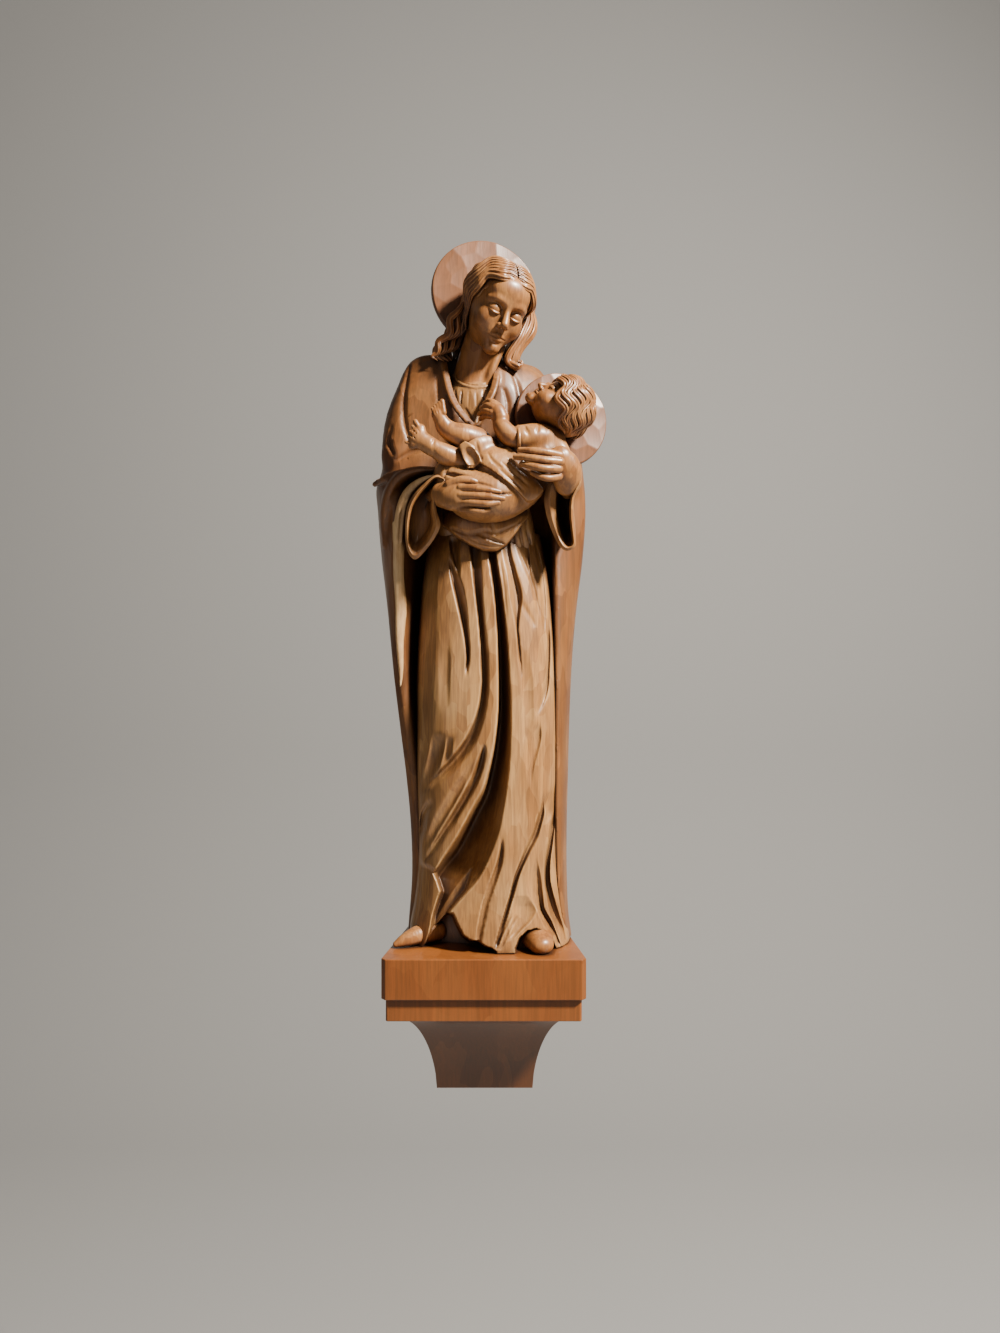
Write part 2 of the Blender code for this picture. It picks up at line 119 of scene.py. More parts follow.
class Value:
    """A number that a stain's nodes work out at each point, for use in plain sums."""

    def __init__(self, stain, socket):
        self.stain = stain
        self.socket = socket

    def sum(self, operation, first, second):
        return self.stain.node("ShaderNodeMath", {"operation": operation}, {0: first, 1: second})

    def __add__(self, other):
        return self.sum("ADD", self, other)

    def __radd__(self, other):
        return self.sum("ADD", other, self)

    def __rsub__(self, other):
        return self.sum("SUBTRACT", other, self)

    def __mul__(self, other):
        return self.sum("MULTIPLY", self, other)


class Stain:
    """A wood finish, built from nodes in millimetres of the piece's own frame."""

    def __init__(self, name):
        self.material = bpy.data.materials.new(name)
        self.material.use_nodes = True
        self.tree = self.material.node_tree
        self.shader = self.tree.nodes["Principled BSDF"]

    def node(self, kind, settings=None, inputs=None, output=0):
        made = self.tree.nodes.new(kind)
        for key, value in (settings or {}).items():
            setattr(made, key, value)
        for key, value in (inputs or {}).items():
            self.feed(made.inputs[key], value)
        return Value(self, made.outputs[output])

    def feed(self, socket, value):
        if isinstance(value, Value):
            self.tree.links.new(value.socket, socket)
        elif isinstance(value, (tuple, list)) and socket.type == "RGBA":
            socket.default_value = value if len(value) == 4 else (*value, 1)
        else:
            socket.default_value = value

    def place(self, turn=(0, 0, 0), scale=(1, 1, 1)):
        """Points of the piece in millimetres, turned and stretched for a pattern."""
        spot = self.node("ShaderNodeTexCoord", output="Object")
        stretched = tuple(1000.0 * part for part in scale)
        return self.node("ShaderNodeMapping", {}, {"Vector": spot, "Rotation": turn, "Scale": stretched})

    def mix(self, share, first, second, blend="MIX"):
        return self.node("ShaderNodeMix", {"data_type": "RGBA", "blend_type": blend, "clamp_factor": True},
                         {0: share, 6: first, 7: second}, 2)

    def between(self, value, low, high):
        """0 under low, 1 over high, smooth between."""
        return self.node("ShaderNodeMapRange", {"interpolation_type": "SMOOTHSTEP"},
                         {0: value, 1: low, 2: high})

    def finish(self, colour, roughness, normal=None, coat=0.0):
        self.feed(self.shader.inputs["Base Color"], colour)
        self.feed(self.shader.inputs["Roughness"], roughness)
        if normal is not None:
            self.feed(self.shader.inputs["Normal"], normal)
        self.shader.inputs["Coat Weight"].default_value = coat
        self.shader.inputs["Coat Roughness"].default_value = 0.22
        return self.material


def carved_wood(name, pale, tone, deep, turn=(0, 0, 0), facet=(8.0, 24.0), facet_depth=0.42, shine=0.33,
                shelter=11.0, painted_shade_share=0.92):
    """Gouge-cut limewood: tone is its stain, pale its worn ridges, and deep both its dark grain streaks and the
    painted shade laid into its hollows.
    """
    wood = Stain(name)
    grain_place = wood.place(turn, (0.55, 0.55, 0.028))
    streaks = wood.node("ShaderNodeTexNoise", {}, {"Vector": grain_place, "Scale": 1.0, "Detail": 4.0,
                                                   "Roughness": 0.6, "Distortion": 0.35}, "Fac")
    clouds = wood.node("ShaderNodeTexNoise", {}, {"Vector": wood.place(turn, (0.030, 0.030, 0.014)),
                                                  "Scale": 1.0, "Detail": 2.0}, "Fac")
    wide, long = facet
    warp = wood.node("ShaderNodeTexNoise", {}, {"Vector": wood.place(turn, (0.06, 0.06, 0.03)), "Scale": 1.0,
                                                "Detail": 1.0}, "Color")
    facet_place = wood.node("ShaderNodeVectorMath", {"operation": "ADD"},
                            {0: wood.place(turn, (1 / wide, 1 / wide, 1 / long)), 1: warp})
    scoops = wood.node("ShaderNodeTexVoronoi", {"feature": "SMOOTH_F1"},
                       {"Vector": facet_place, "Scale": 1.0, "Smoothness": 0.12, "Randomness": 0.85},
                       "Distance")
    cell = wood.node("ShaderNodeTexVoronoi", {"feature": "F1"},
                     {"Vector": facet_place, "Scale": 1.0, "Randomness": 0.85}, "Color")
    # open_sky and wide_sky measure how closed in each point is, near and wide; below they paint shade into
    # creases and hollows.
    open_sky = wood.node("ShaderNodeAmbientOcclusion", {"samples": 6}, {"Distance": shelter * 0.001}, "AO")
    wide_sky = wood.node("ShaderNodeAmbientOcclusion", {"samples": 5}, {"Distance": shelter * 0.0034}, "AO")
    edge = wood.node("ShaderNodeNewGeometry", output="Pointiness")
    worn = wood.between(edge, 0.515, 0.575)
    hollow = (1.0 - wood.between(open_sky, 0.30, 0.92)) * painted_shade_share
    colour = wood.mix(wood.between(clouds, 0.35, 0.68) * 0.45, tone, pale)
    colour = wood.mix(worn * 0.75, colour, pale)
    colour = wood.mix(0.50, colour, wood.mix(wood.between(streaks, 0.32, 0.68), deep, pale), "SOFT_LIGHT")
    colour = wood.mix(0.34, colour, cell * 1.0, "SOFT_LIGHT")
    # painted shade: closed-in places darken towards the deep colour, first tight creases, then broad valleys
    colour = wood.mix(hollow, colour, deep)
    colour = wood.mix((1.0 - wood.between(wide_sky, 0.16, 0.66)) * painted_shade_share * 0.85, colour, deep)
    height = scoops * scoops * facet_depth + streaks * 0.05
    normal = wood.node("ShaderNodeBump", {}, {"Height": height, "Distance": 0.001, "Strength": 1.0})
    roughness = shine + streaks * 0.10 + hollow * 0.18
    return wood.finish(colour, roughness, normal, 0.22)


DRESS_WOOD = carved_wood("dress_stain", (0.61, 0.395, 0.195), (0.35, 0.185, 0.068), (0.040, 0.013, 0.004))
MANTLE_WOOD = carved_wood("mantle_stain", (0.36, 0.185, 0.064), (0.215, 0.092, 0.027), (0.028, 0.009, 0.003),
                          facet=(13.0, 30.0), facet_depth=0.8, shine=0.44)
LINING_WOOD = carved_wood("lining_stain", (0.56, 0.34, 0.155), (0.36, 0.178, 0.062), (0.040, 0.012, 0.004))
SKIN_WOOD = carved_wood("skin_stain", (0.50, 0.28, 0.115), (0.32, 0.150, 0.050), (0.045, 0.014, 0.005),
                        facet=(6.0, 9.0), facet_depth=0.14, shelter=3.2, painted_shade_share=0.75)
CONSOLE_WOOD = carved_wood("console_stain", (0.34, 0.140, 0.036), (0.25, 0.090, 0.019), (0.035, 0.011, 0.003),
                           turn=(0, math.pi / 2, 0), facet=(30.0, 60.0), facet_depth=0.10, shelter=6.0)
# Painted shade: the corbel's stain is much darker than the console board's, standing for the shade it hangs in
# under the board.
CORBEL_SHADED_WOOD = carved_wood("corbel_stain_painted_shade", (0.20, 0.078, 0.020), (0.14, 0.050, 0.011), (0.022, 0.008, 0.003),
                          facet=(30.0, 60.0), facet_depth=0.10, shelter=12.0)


# ------------------------------------------------------------------ console and plinth
# Two boards and a hollow-moulded corbel, planed and stained, their edges broken with fine sandpaper.
# The plinth belongs to the figure. The console board is glued on the corbel, which hangs on the wall.

def link_piece(name, mesh, stain, body, nodes):
    """Makes a piece of the statue from a finished mesh."""
    mesh.materials.clear()
    mesh.materials.append(stain)
    made = bpy.data.objects.new(name, mesh)
    bpy.context.scene.collection.objects.link(made)
    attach(made, body)
    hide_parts(*nodes)
    return made


def skin_mesh(name, points, *face_sets):
    """A smooth mesh in metres from points in millimetres and arrays of quads or triangles."""
    mesh = bpy.data.meshes.new(name)
    corners = np.concatenate([np.asarray(faces).ravel() for faces in face_sets]).astype(np.int32)
    sizes = np.concatenate([np.full(len(faces), np.shape(faces)[1]) for faces in face_sets])
    mesh.vertices.add(len(points))
    mesh.vertices.foreach_set("co", (np.asarray(points) * 0.001).astype(np.float32).ravel())
    mesh.loops.add(len(corners))
    mesh.loops.foreach_set("vertex_index", corners)
    mesh.polygons.add(len(sizes))
    mesh.polygons.foreach_set("loop_start", np.concatenate([[0], np.cumsum(sizes)[:-1]]).astype(np.int32))
    mesh.update(calc_edges=True)
    mesh.shade_smooth()
    return facing_out(mesh)


def facing_out(mesh):
    """The same closed mesh, turned right side out if its faces point inwards."""
    mesh.calc_loop_triangles()
    places = np.empty(len(mesh.vertices) * 3)
    mesh.vertices.foreach_get("co", places)
    triangles = np.empty(len(mesh.loop_triangles) * 3, dtype=np.int32)
    mesh.loop_triangles.foreach_get("vertices", triangles)
    a, b, c = places.reshape(-1, 3)[triangles.reshape(-1, 3)].transpose(1, 0, 2)
    if np.einsum("ij,ij->", a, np.cross(b, c)) < 0:
        mesh.flip_normals()
    return mesh


def through(rows, at):
    """Smooth values at the heights asked for, through rows of (height, value, ...) in any order."""
    rows = np.array(sorted(rows), dtype=float)
    heights, values = rows[:, 0], rows[:, 1:]
    slopes = np.gradient(values, heights, axis=0)
    at = np.clip(np.asarray(at, dtype=float), heights[0], heights[-1])
    low = np.clip(np.searchsorted(heights, at) - 1, 0, len(heights) - 2)
    span = heights[low + 1] - heights[low]
    t = ((at - heights[low]) / span)[..., None]
    span = span[..., None]
    start, end = values[low], values[low + 1]
    return (start * (1 + 2 * t) * (1 - t) ** 2 + slopes[low] * span * t * (1 - t) ** 2
            + end * t ** 2 * (3 - 2 * t) + slopes[low + 1] * span * t ** 2 * (t - 1))


def rings_to_mesh(name, rings):
    """A closed skin over rings that all have the same number of points, first ring lowest."""
    rings = np.asarray(rings, dtype=float)
    rows, count = rings.shape[:2]
    index = np.arange(rows * count).reshape(rows, count)
    right = np.roll(index, -1, axis=1)
    sides = np.stack([index[:-1], right[:-1], right[1:], index[1:]], axis=-1).reshape(-1, 4)
    points = np.vstack([rings.reshape(-1, 3), rings[0].mean(axis=0), rings[-1].mean(axis=0)])
    low, high = np.full(count, rows * count), np.full(count, rows * count + 1)
    caps = np.vstack([np.column_stack([low, right[0], index[0]]),
                      np.column_stack([high, index[-1], right[-1]])])
    return skin_mesh(name, points, sides, caps)


BOARD_TAPER = 15.0      # millimetres that each side comes in by at the wall


def make_board(name, node, chamfer, body):
    """A planed board over its solid: narrower at the wall, its front corners chamfered."""
    low, high = (np.array(corner) * 1000 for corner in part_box(node))
    half, depth = high[0], -low[1]
    back = half - BOARD_TAPER
    slant = (half - back) / depth
    outline = [(-back, 0.0), (back, 0.0), (half - slant * chamfer, chamfer - depth), (half - chamfer, -depth),
               (chamfer - half, -depth), (slant * chamfer - half, chamfer - depth)]
    count = len(outline)
    points = [(x, y, z) for z in (low[2], high[2]) for x, y in outline]
    sides = [(i, (i + 1) % count, count + (i + 1) % count, count + i) for i in range(count)]
    mesh = bpy.data.meshes.new(name)
    mesh.from_pydata([[part * 0.001 for part in point] for point in points], [],
                     sides + [tuple(range(count - 1, -1, -1)), tuple(range(count, 2 * count))])
    board = link_piece(name, facing_out(mesh), CONSOLE_WOOD, body, [node])
    edges = board.modifiers.new("sanded_edges", "BEVEL")
    edges.width = 0.0007
    edges.segments = 3


make_board("plinth_board", "plinth", 4.0, "figure")
make_board("console_shelf", "console_board", 1.5, "console")


def make_corbel():
    """The bracket: a hollow moulding on three sides, from a square foot out to a thin lip."""
    low, high = (np.array(corner) * 1000 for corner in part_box("corbel"))
    foot_half, foot_depth, lip, back_share = 40.0, 66.0, 0.8, 0.8125
    rings = []
    for share in np.linspace(0, 1, 33) ** 0.5:
        flare = 1 - math.sqrt(1 - share ** 1.6)
        rings.append((foot_half + (high[0] - foot_half) * flare, foot_depth + (-low[1] - foot_depth) * flare,
                      low[2] + (high[2] - lip - low[2]) * share))
    rings.append((high[0], -low[1], high[2]))
    points = [(x, y, z) for half, depth, z in rings
              for x, y in ((-half * back_share, 0), (half * back_share, 0), (half, -depth), (-half, -depth))]
    faces = [(4 * r + i, 4 * r + (i + 1) % 4, 4 * r + 4 + (i + 1) % 4, 4 * r + 4 + i)
             for r in range(len(rings) - 1) for i in range(4)]
    last = 4 * len(rings)
    faces += [(3, 2, 1, 0), (last - 4, last - 3, last - 2, last - 1)]
    mesh = bpy.data.meshes.new("corbel_bracket")
    mesh.from_pydata([[part * 0.001 for part in point] for point in points], [], faces)
    mesh.shade_smooth()
    mesh.set_sharp_from_angle(angle=math.radians(35))
    bracket = link_piece("corbel_bracket", facing_out(mesh), CORBEL_SHADED_WOOD, "console", ["corbel"])
    edges = bracket.modifiers.new("sanded_edges", "BEVEL")
    edges.width = 0.0003
    edges.segments = 2
    edges.limit_method = "ANGLE"
    edges.angle_limit = math.radians(40)


make_corbel()


# ------------------------------------------------------------------ gown
# The main block, from the hem to the breast. Its folds are long scoops of a deep gouge: a crisp ridge stands
# wherever two meet. Each is drawn as it is seen from the eye point, on an upright board BOARD millimetres
# in front of the wall, and cut back along the line of sight.

BOARD = 95.0


def seen(points):
    """Where points are on the drawing board: across and up."""
    scale = (BOARD + EYE[1]) / (points[..., 1] * -1.0 + EYE[1])
    across = EYE[0] + (points[..., 0] - EYE[0]) * scale
    up = EYE[2] + (points[..., 2] - EYE[2]) * scale
    return across, up


def behind(across, up, depth, board=BOARD):
    """The point a given depth in front of the wall that is seen at a place on the drawing board."""
    scale = (-EYE[1] - depth) / (-EYE[1] - board)
    return (EYE[0] + (across - EYE[0]) * scale, -depth, EYE[2] + (up - EYE[2]) * scale)


def scoop(across, up, rows, lean, top, bottom):
    """How deep a scoop is at each place: rows of (up, left edge, right edge, depth)."""
    left, right, depth = np.moveaxis(through(rows, up), -1, 0)
    width = np.maximum(right - left, 0.4)
    side = (across - left) / width * 2 - 1
    bowl = np.where(side < lean, (lean - side) / (1 + lean), (side - lean) / (1 - lean))
    heights = [row[0] for row in rows]
    ends = np.clip((up - min(heights)) / bottom, 0, 1) * np.clip((max(heights) - up) / top, 0, 1)
    return np.clip(1 - bowl ** 2, 0, 1) * depth * np.sqrt(ends)


def near_line(across, up, line):
    """The distance to a line through points, and how far along it, from 0 to 1, the nearest place is."""
    line = smooth_line(line, 4)
    steps = np.hypot(*np.diff(line, axis=0).T)
    reach = np.concatenate([[0], np.cumsum(steps)])
    best = np.full(across.shape, 1e9)
    along = np.zeros(across.shape)
    for i, step in enumerate(steps):
        (x0, z0), (x1, z1) = line[i], line[i + 1]
        t = np.clip(((across - x0) * (x1 - x0) + (up - z0) * (z1 - z0)) / step ** 2, 0, 1)
        gap = np.hypot(across - x0 - t * (x1 - x0), up - z0 - t * (z1 - z0))
        closer = gap < best
        best = np.where(closer, gap, best)
        along = np.where(closer, (reach[i] + t * step) / reach[-1], along)
    return best, along


def curve_place(a, b, c, d, t):
    """The place at t, from 0 to 1, on the Catmull-Rom curve from b to c."""
    return 0.5 * (2 * b + (c - a) * t + (2 * a - 5 * b + 4 * c - d) * t ** 2
                  + (3 * b - a - 3 * c + d) * t ** 3)


def smooth_line(points, pieces):
    """A Catmull-Rom curve through points, with so many pieces between each two."""
    points = np.asarray(points, dtype=float)
    padded = np.vstack([2 * points[0] - points[1], points, 2 * points[-1] - points[-2]])
    out = []
    for a, b, c, d in zip(padded, padded[1:], padded[2:], padded[3:]):
        for t in np.arange(pieces) / pieces:
            out.append(curve_place(a, b, c, d, t))
    out.append(points[-1])
    return np.array(out)


def cut_line(across, up, line, half_width, depth):
    """A V-cut or, with a negative depth, a raised bead along a line, fading out at both ends."""
    gap, along = near_line(across, up, line)
    fade = np.sqrt(np.clip(np.minimum(along, 1 - along) * 5, 0, 1))
    return depth * fade * np.clip(1 - gap / half_width, 0, 1) ** 1.3


def outline_gap(across, up, outline):
    """The distance to a closed outline, less than zero within it."""
    outline = np.asarray(outline, dtype=float)
    gap = np.full(across.shape, 1e9)
    within = np.zeros(across.shape, dtype=bool)
    for (x0, z0), (x1, z1) in zip(outline, np.roll(outline, -1, axis=0)):
        step = max((x1 - x0) ** 2 + (z1 - z0) ** 2, 1e-9)
        t = np.clip(((across - x0) * (x1 - x0) + (up - z0) * (z1 - z0)) / step, 0, 1)
        gap = np.minimum(gap, np.hypot(across - x0 - t * (x1 - x0), up - z0 - t * (z1 - z0)))
        crosses = (z0 > up) != (z1 > up)
        if z1 != z0:
            within ^= crosses & (across < x0 + (up - z0) * (x1 - x0) / (z1 - z0))
    return np.where(within, -gap, gap)


def inside(across, up, outline, soft=1.2):
    """1 inside an outline, 0 outside it, with a steep slope between."""
    return np.clip(0.5 - outline_gap(across, up, outline) / soft, 0, 1)


def gown_rings(rows, levels, around):
    """Level rings of the gown's trunk: a boxy half oval in front, straight back to the wall behind."""
    heights = np.linspace(levels[0], levels[1], levels[2])
    left, right, front = np.moveaxis(through(rows, heights), -1, 0)
    back, middle_y = -4.0, -42.0
    turn = np.linspace(-1.0, 1.0, around) * math.pi / 2
    side = np.sign(np.sin(turn)) * np.abs(np.sin(turn)) ** 0.86
    ahead = np.abs(np.cos(turn)) ** 0.62
    centre, half = (left + right) / 2, (right - left) / 2
    x = centre[:, None] + half[:, None] * side
    y = middle_y + (front[:, None] - middle_y) * ahead
    rings = np.stack([x, y, np.broadcast_to(heights[:, None], x.shape)], axis=-1)
    backs = []
    for share in np.linspace(0, 1, 12):
        bx = right * (1 - share) + left * share
        by = back + (middle_y - back) * np.maximum(0, np.abs(2 * share - 1) - 0.6) / 0.4
        backs.append(np.stack([bx, np.full_like(bx, by), heights], axis=-1))
    return np.concatenate([rings, np.stack(backs[1:-1], axis=1)], axis=1)


def carve_back(rings, depth_at):
    """Cuts rings back along the line of sight by depth_at(across, up), less where the surface turns away."""
    across, up = seen(rings)
    ahead = np.roll(rings, -1, axis=1) - np.roll(rings, 1, axis=1)
    normal = np.stack([ahead[..., 1], -ahead[..., 0]], axis=-1)
    normal /= np.maximum(np.linalg.norm(normal, axis=-1, keepdims=True), 1e-6)
    sight = rings - np.array(EYE)
    sight /= sight[..., 1:2]
    facing = np.clip((-normal[..., 1] - 0.12) / 0.35, 0, 1)
    depth = depth_at(across, up) * facing
    above_hem = np.clip((up[1:-1] - 145) / 15, 0, 1)
    for _ in range(12):     # evens out the steps that a fold's wall takes from column to column
        depth[1:-1] += above_hem * (depth[:-2] - 2 * depth[1:-1] + depth[2:]) / 4
    return rings + sight * depth[..., None]


SKIRT_TRUNK = [  # height, left side, right side, front
    (418, -46, 47, -82), (400, -50, 51, -86), (380, -53, 55, -90), (340, -56, 60, -94), (300, -58, 62, -97),
    (260, -58, 63, -98), (220, -58, 63, -97), (180, -57, 63, -96), (140, -57, 64, -97), (110, -60, 67, -99),
    (92, -63, 70, -101), (77.7, -64, 72, -102)]


def skirt_depth(across, up):
    def s(rows, lean, top=6.0, bottom=6.0):
        return scoop(across, up, rows, lean, top, bottom)

    scoops = [
        # from the belt down, between the legs
        s([(410, -29, -19, 5), (400, -27.5, -19.5, 5), (390, -24.5, -19, 5), (379, -20.5, -19, 2)], -0.3, 1),
        s([(393, -29, -26.5, 3), (375, -26, -18, 5), (360, -22.5, -14.5, 6), (345, -19, -12.8, 6),
           (330, -16, -11.8, 5), (315, -14.5, -11, 5), (301, -15.5, -13, 2)], -0.55),
        s([(418, -13, -2, 4), (398, -11, -2, 6), (370, -8, -1, 7), (340, -4.5, 1, 7), (310, -2.8, 4, 7),
           (285, -3, 3.6, 7), (262, -8.5, -0.5, 7.5), (245, -17, -7, 8), (230, -29, -18, 8), (218, -41, -32, 7),
           (206, -52, -47, 4)], -0.55, 1),
        s([(418, 2, 9, 5), (398, 3.5, 10, 8), (370, 7.5, 14.5, 11), (340, 10, 18, 14), (300, 11.3, 21, 18),
           (270, 11, 22, 21), (240, 7.5, 21.5, 25), (220, 3, 20, 28), (205, -1.5, 18, 30), (190, -10, 15.5, 32),
           (175, -18, 12.5, 34), (160, -27, 7.5, 34), (148, -36, 2.5, 34), (136, -44, -4, 30),
           (122, -47, -16, 28), (108, -48, -28, 26), (90, -50, -36, 22), (74, -50, -40, 20)], -0.62, 1, 1),
        s([(412, 13, 20, 2), (398, 15, 22, 3.5), (380, 19, 27, 4.5), (362, 21, 31, 5), (350, 23.5, 29, 4),
           (338, 25.5, 28, 3), (325, 26.5, 29, 2.5), (310, 28, 30.5, 2), (297, 30, 31.5, 1)], 0.35, 1),
        s([(404, 33.5, 36, 1.2), (390, 35.3, 37.2, 2), (382, 36.5, 37.5, 1)], 0, 2),
        s([(404, 40.5, 43, 1), (398, 41.5, 44.6, 1.8), (370, 45.3, 49, 2), (345, 46.5, 50, 1.6),
           (334, 47.5, 49, 0.6)], 0.2, 2),
        s([(404, 48.6, 51, 2), (370, 52.5, 55, 2.5), (340, 55, 57.4, 2.5), (300, 56, 58.6, 2.2),
           (250, 57, 59.2, 2)], 0.3, 2),
        # the shallow turns over the right thigh and shin
        s([(318, 30, 36, 0.5), (300, 31, 39, 1.6), (280, 31, 40, 2.2), (262, 31, 40, 2), (246, 31, 36, 1)],
          -0.7, 12),
        s([(260, 41, 46, 1.6), (250, 35.5, 46.4, 3.6), (240, 33, 44.4, 3.4), (228, 33, 41, 2.4),
           (212, 35.5, 38.5, 1)], 0.35, 4, 14),
        s([(212, 57, 58, 1), (196, 48, 58.6, 4.5), (189, 49.5, 58, 4.5), (181, 49.5, 53, 1.5)], -0.4, 3),
        s([(204, 47, 50, 2), (190, 44.5, 49, 5), (180, 41.5, 46.6, 6), (170, 38, 43.6, 6), (160, 33, 38.4, 6),
           (150, 29, 33.6, 5.5), (140, 24.8, 29.4, 5), (130, 22, 26.2, 5), (120, 19.6, 23.4, 4.5),
           (110, 16.4, 20.4, 4), (98, 12.8, 17, 4), (88, 10, 14, 3.5), (79, 8, 11.4, 2)], -0.5, 8, 4),
        s([(198, 59, 60.6, 2), (180, 53.2, 57.4, 5), (165, 51, 55.6, 6.5), (150, 48.6, 53.6, 7),
           (135, 48, 53.6, 7.5), (120, 50.2, 57, 7.5), (105, 54, 61.5, 7), (92, 58.5, 65.5, 5),
           (81, 63.5, 67, 2)], -0.25, 10),
        s([(184, 57.6, 59.4, 1.5), (160, 57.4, 60.6, 3), (140, 58, 61.6, 3.5), (120, 60.6, 64, 3.5),
           (100, 65, 68.2, 3), (88, 68, 70.4, 1)], 0, 12),
        s([(152, 39, 43, 1), (138, 35, 45.6, 3.5), (122, 36, 47.6, 5), (112, 42, 49, 5.5), (102, 46, 54.5, 5),
           (92, 50.5, 59, 4), (82, 56, 62, 2.5)], 0.5, 10, 3),
        s([(122, 23, 38, 1.5), (110, 22, 42, 4), (100, 22, 36, 4), (92, 20, 28, 2.5), (86, 15, 22, 1)], 0.1, 8,
          6),
        s([(168, 13.4, 15.6, 2), (158, 12.3, 16, 4), (148, 9.5, 15, 4), (138, 6, 12, 3.6), (128, 2.6, 8.6, 3.2),
           (116, -1.4, 4.4, 3), (104, -4, 2, 3), (92, -6, -0.6, 3), (82, -6, -2, 2)], -0.3, 6, 2),
        s([(206, 13, 16, 2), (195, 10.5, 15.6, 4), (185, 7.6, 13, 4), (174, 4.6, 9, 3), (166, 3, 6, 1)], 0.2, 2,
          8),
        # the knee and the folds that are drawn from it to the left foot
        s([(252, -42, -30, 4.5), (240, -44, -31, 5.5), (228, -47, -35, 5), (214, -51, -41, 3.5),
           (204, -53, -46, 1)], 0.2, 12, 8),
        s([(252, -31, -19, 1.5), (246, -31.5, -24, 3), (236, -33, -26, 3), (226, -36, -30, 1.5)], -0.2, 10, 8),
        s([(262, -50, -44, 0.5), (240, -51.5, -46.5, 3), (222, -53, -49, 2.5), (206, -54, -51, 1)], 0, 20),
        s([(242, -1.6, 1.6, 4), (230, -6.5, 0.4, 6), (216, -12.5, -4, 6.5), (205, -17.6, -9.6, 7),
           (195, -23.4, -15.6, 7), (185, -29.4, -21.6, 7), (175, -35.6, -28.8, 6.5), (165, -41.4, -35.6, 6),
           (155, -47, -43, 4), (149, -50, -48, 1)], 0.45, 2, 8),
        s([(232, -10, -6, 1), (220, -19, -10, 2.5), (208, -27, -17, 3.5), (196, -34, -23.6, 4),
           (184, -41, -31, 4), (172, -46, -38, 3.5), (160, -50, -45, 2)], 0.6, 10, 8),
        s([(198, -46, -39, 2.5), (190, -51, -43.5, 4), (178, -53, -46, 4), (166, -54, -49.5, 2)], -0.4, 2, 8),
        s([(395, -47, -36, 1), (360, -50, -38, 2), (300, -52, -40, 2), (262, -50, -42, 1)], 0.2, 20, 20),
        s([(330, -37, -27, 0.6), (300, -37, -27, 1.2), (272, -36, -28, 0.6)], 0.4, 20, 20),
    ]
    depth = np.max(scoops, axis=0)
    lines = [
        ([(51.5, 345), (52, 322), (51.4, 305), (50.6, 292), (48.6, 283), (45.4, 275.5), (41.8, 269.5)], 2.2,
         4.5),
        ([(30.6, 357.5), (34, 351.5), (37.6, 346), (41, 339)], 2.6, 1.3),
        ([(26, 408), (30, 396), (36, 382), (41, 366), (45, 347)], 2.6, 1.6),
        ([(13, 392), (16.2, 370), (18.4, 345)], 1.4, 1.2),
        ([(-41, 197.5), (-46.4, 193), (-50.4, 184), (-51.4, 171)], 2.2, 3.5),
        ([(13, 79), (17, 88), (22, 98), (26.5, 106)], 1.6, 2.0),
        ([(9.5, 82), (14.5, 92), (19, 101), (23, 108)], 1.3, 1.4),
        ([(24, 78), (27, 88), (34, 96), (42, 98), (51, 94), (57, 86), (60, 78)], 3.0, -2.0),
        ([(-43, 262), (-39, 255.5), (-33, 251.5), (-26, 252.5), (-19.5, 257.5)], 3.2, -1.6),
    ]
    for line, half_width, cut in lines:
        depth = depth + cut_line(across, up, line, half_width, cut)
    under_hem = inside(across, up, [(-29.5, 109), (-25, 107.5), (-21, 98), (-17, 90.5), (-12, 86.5), (-5, 85.5),
                                    (0, 81.5), (8, 78.5), (12, 70), (-80, 70), (-80, 84), (-46, 90),
                                    (-38, 100)])
    in_shadow = inside(across, up, [(-80, 141.5), (-42, 141.5), (-8, 146), (-14, 128), (-30, 108), (-40, 96),
                                    (-80, 90)])
    left_fall = inside(across, up, [(-80, 152), (-52, 149), (-41, 144), (-37, 135), (-34, 126), (-37, 118),
                                    (-40, 108), (-43, 92), (-46, 84), (-52, 76), (-80, 76)], 3.0)
    arch = inside(across, up, [(25.5, 70), (25.5, 80), (28.5, 88), (35, 94), (42, 95.6), (50, 92), (55.6, 85),
                               (58, 78), (58, 70)])
    depth = np.maximum(depth, under_hem * 30)
    depth = np.maximum(depth, in_shadow * 20)
    depth = np.where(left_fall > 0, depth * (1 - left_fall) + left_fall * 4.5, depth)
    return np.maximum(depth, arch * 14)


def make_skirt():
    rings = gown_rings(SKIRT_TRUNK, (77.7, 418.0, 380), 230)
    rings = carve_back(rings, skirt_depth)
    link_piece("gown_skirt", rings_to_mesh("gown_skirt", rings), DRESS_WOOD, "figure", ["dress"])


make_skirt()


# ------------------------------------------------------------------ mantle
# The cloak: flat against the wall, full over the shoulders and arms, falling at her right side in a deep fold
# whose pale lining shows, and at her left side close along the gown. It is one block, glued to the gown's.

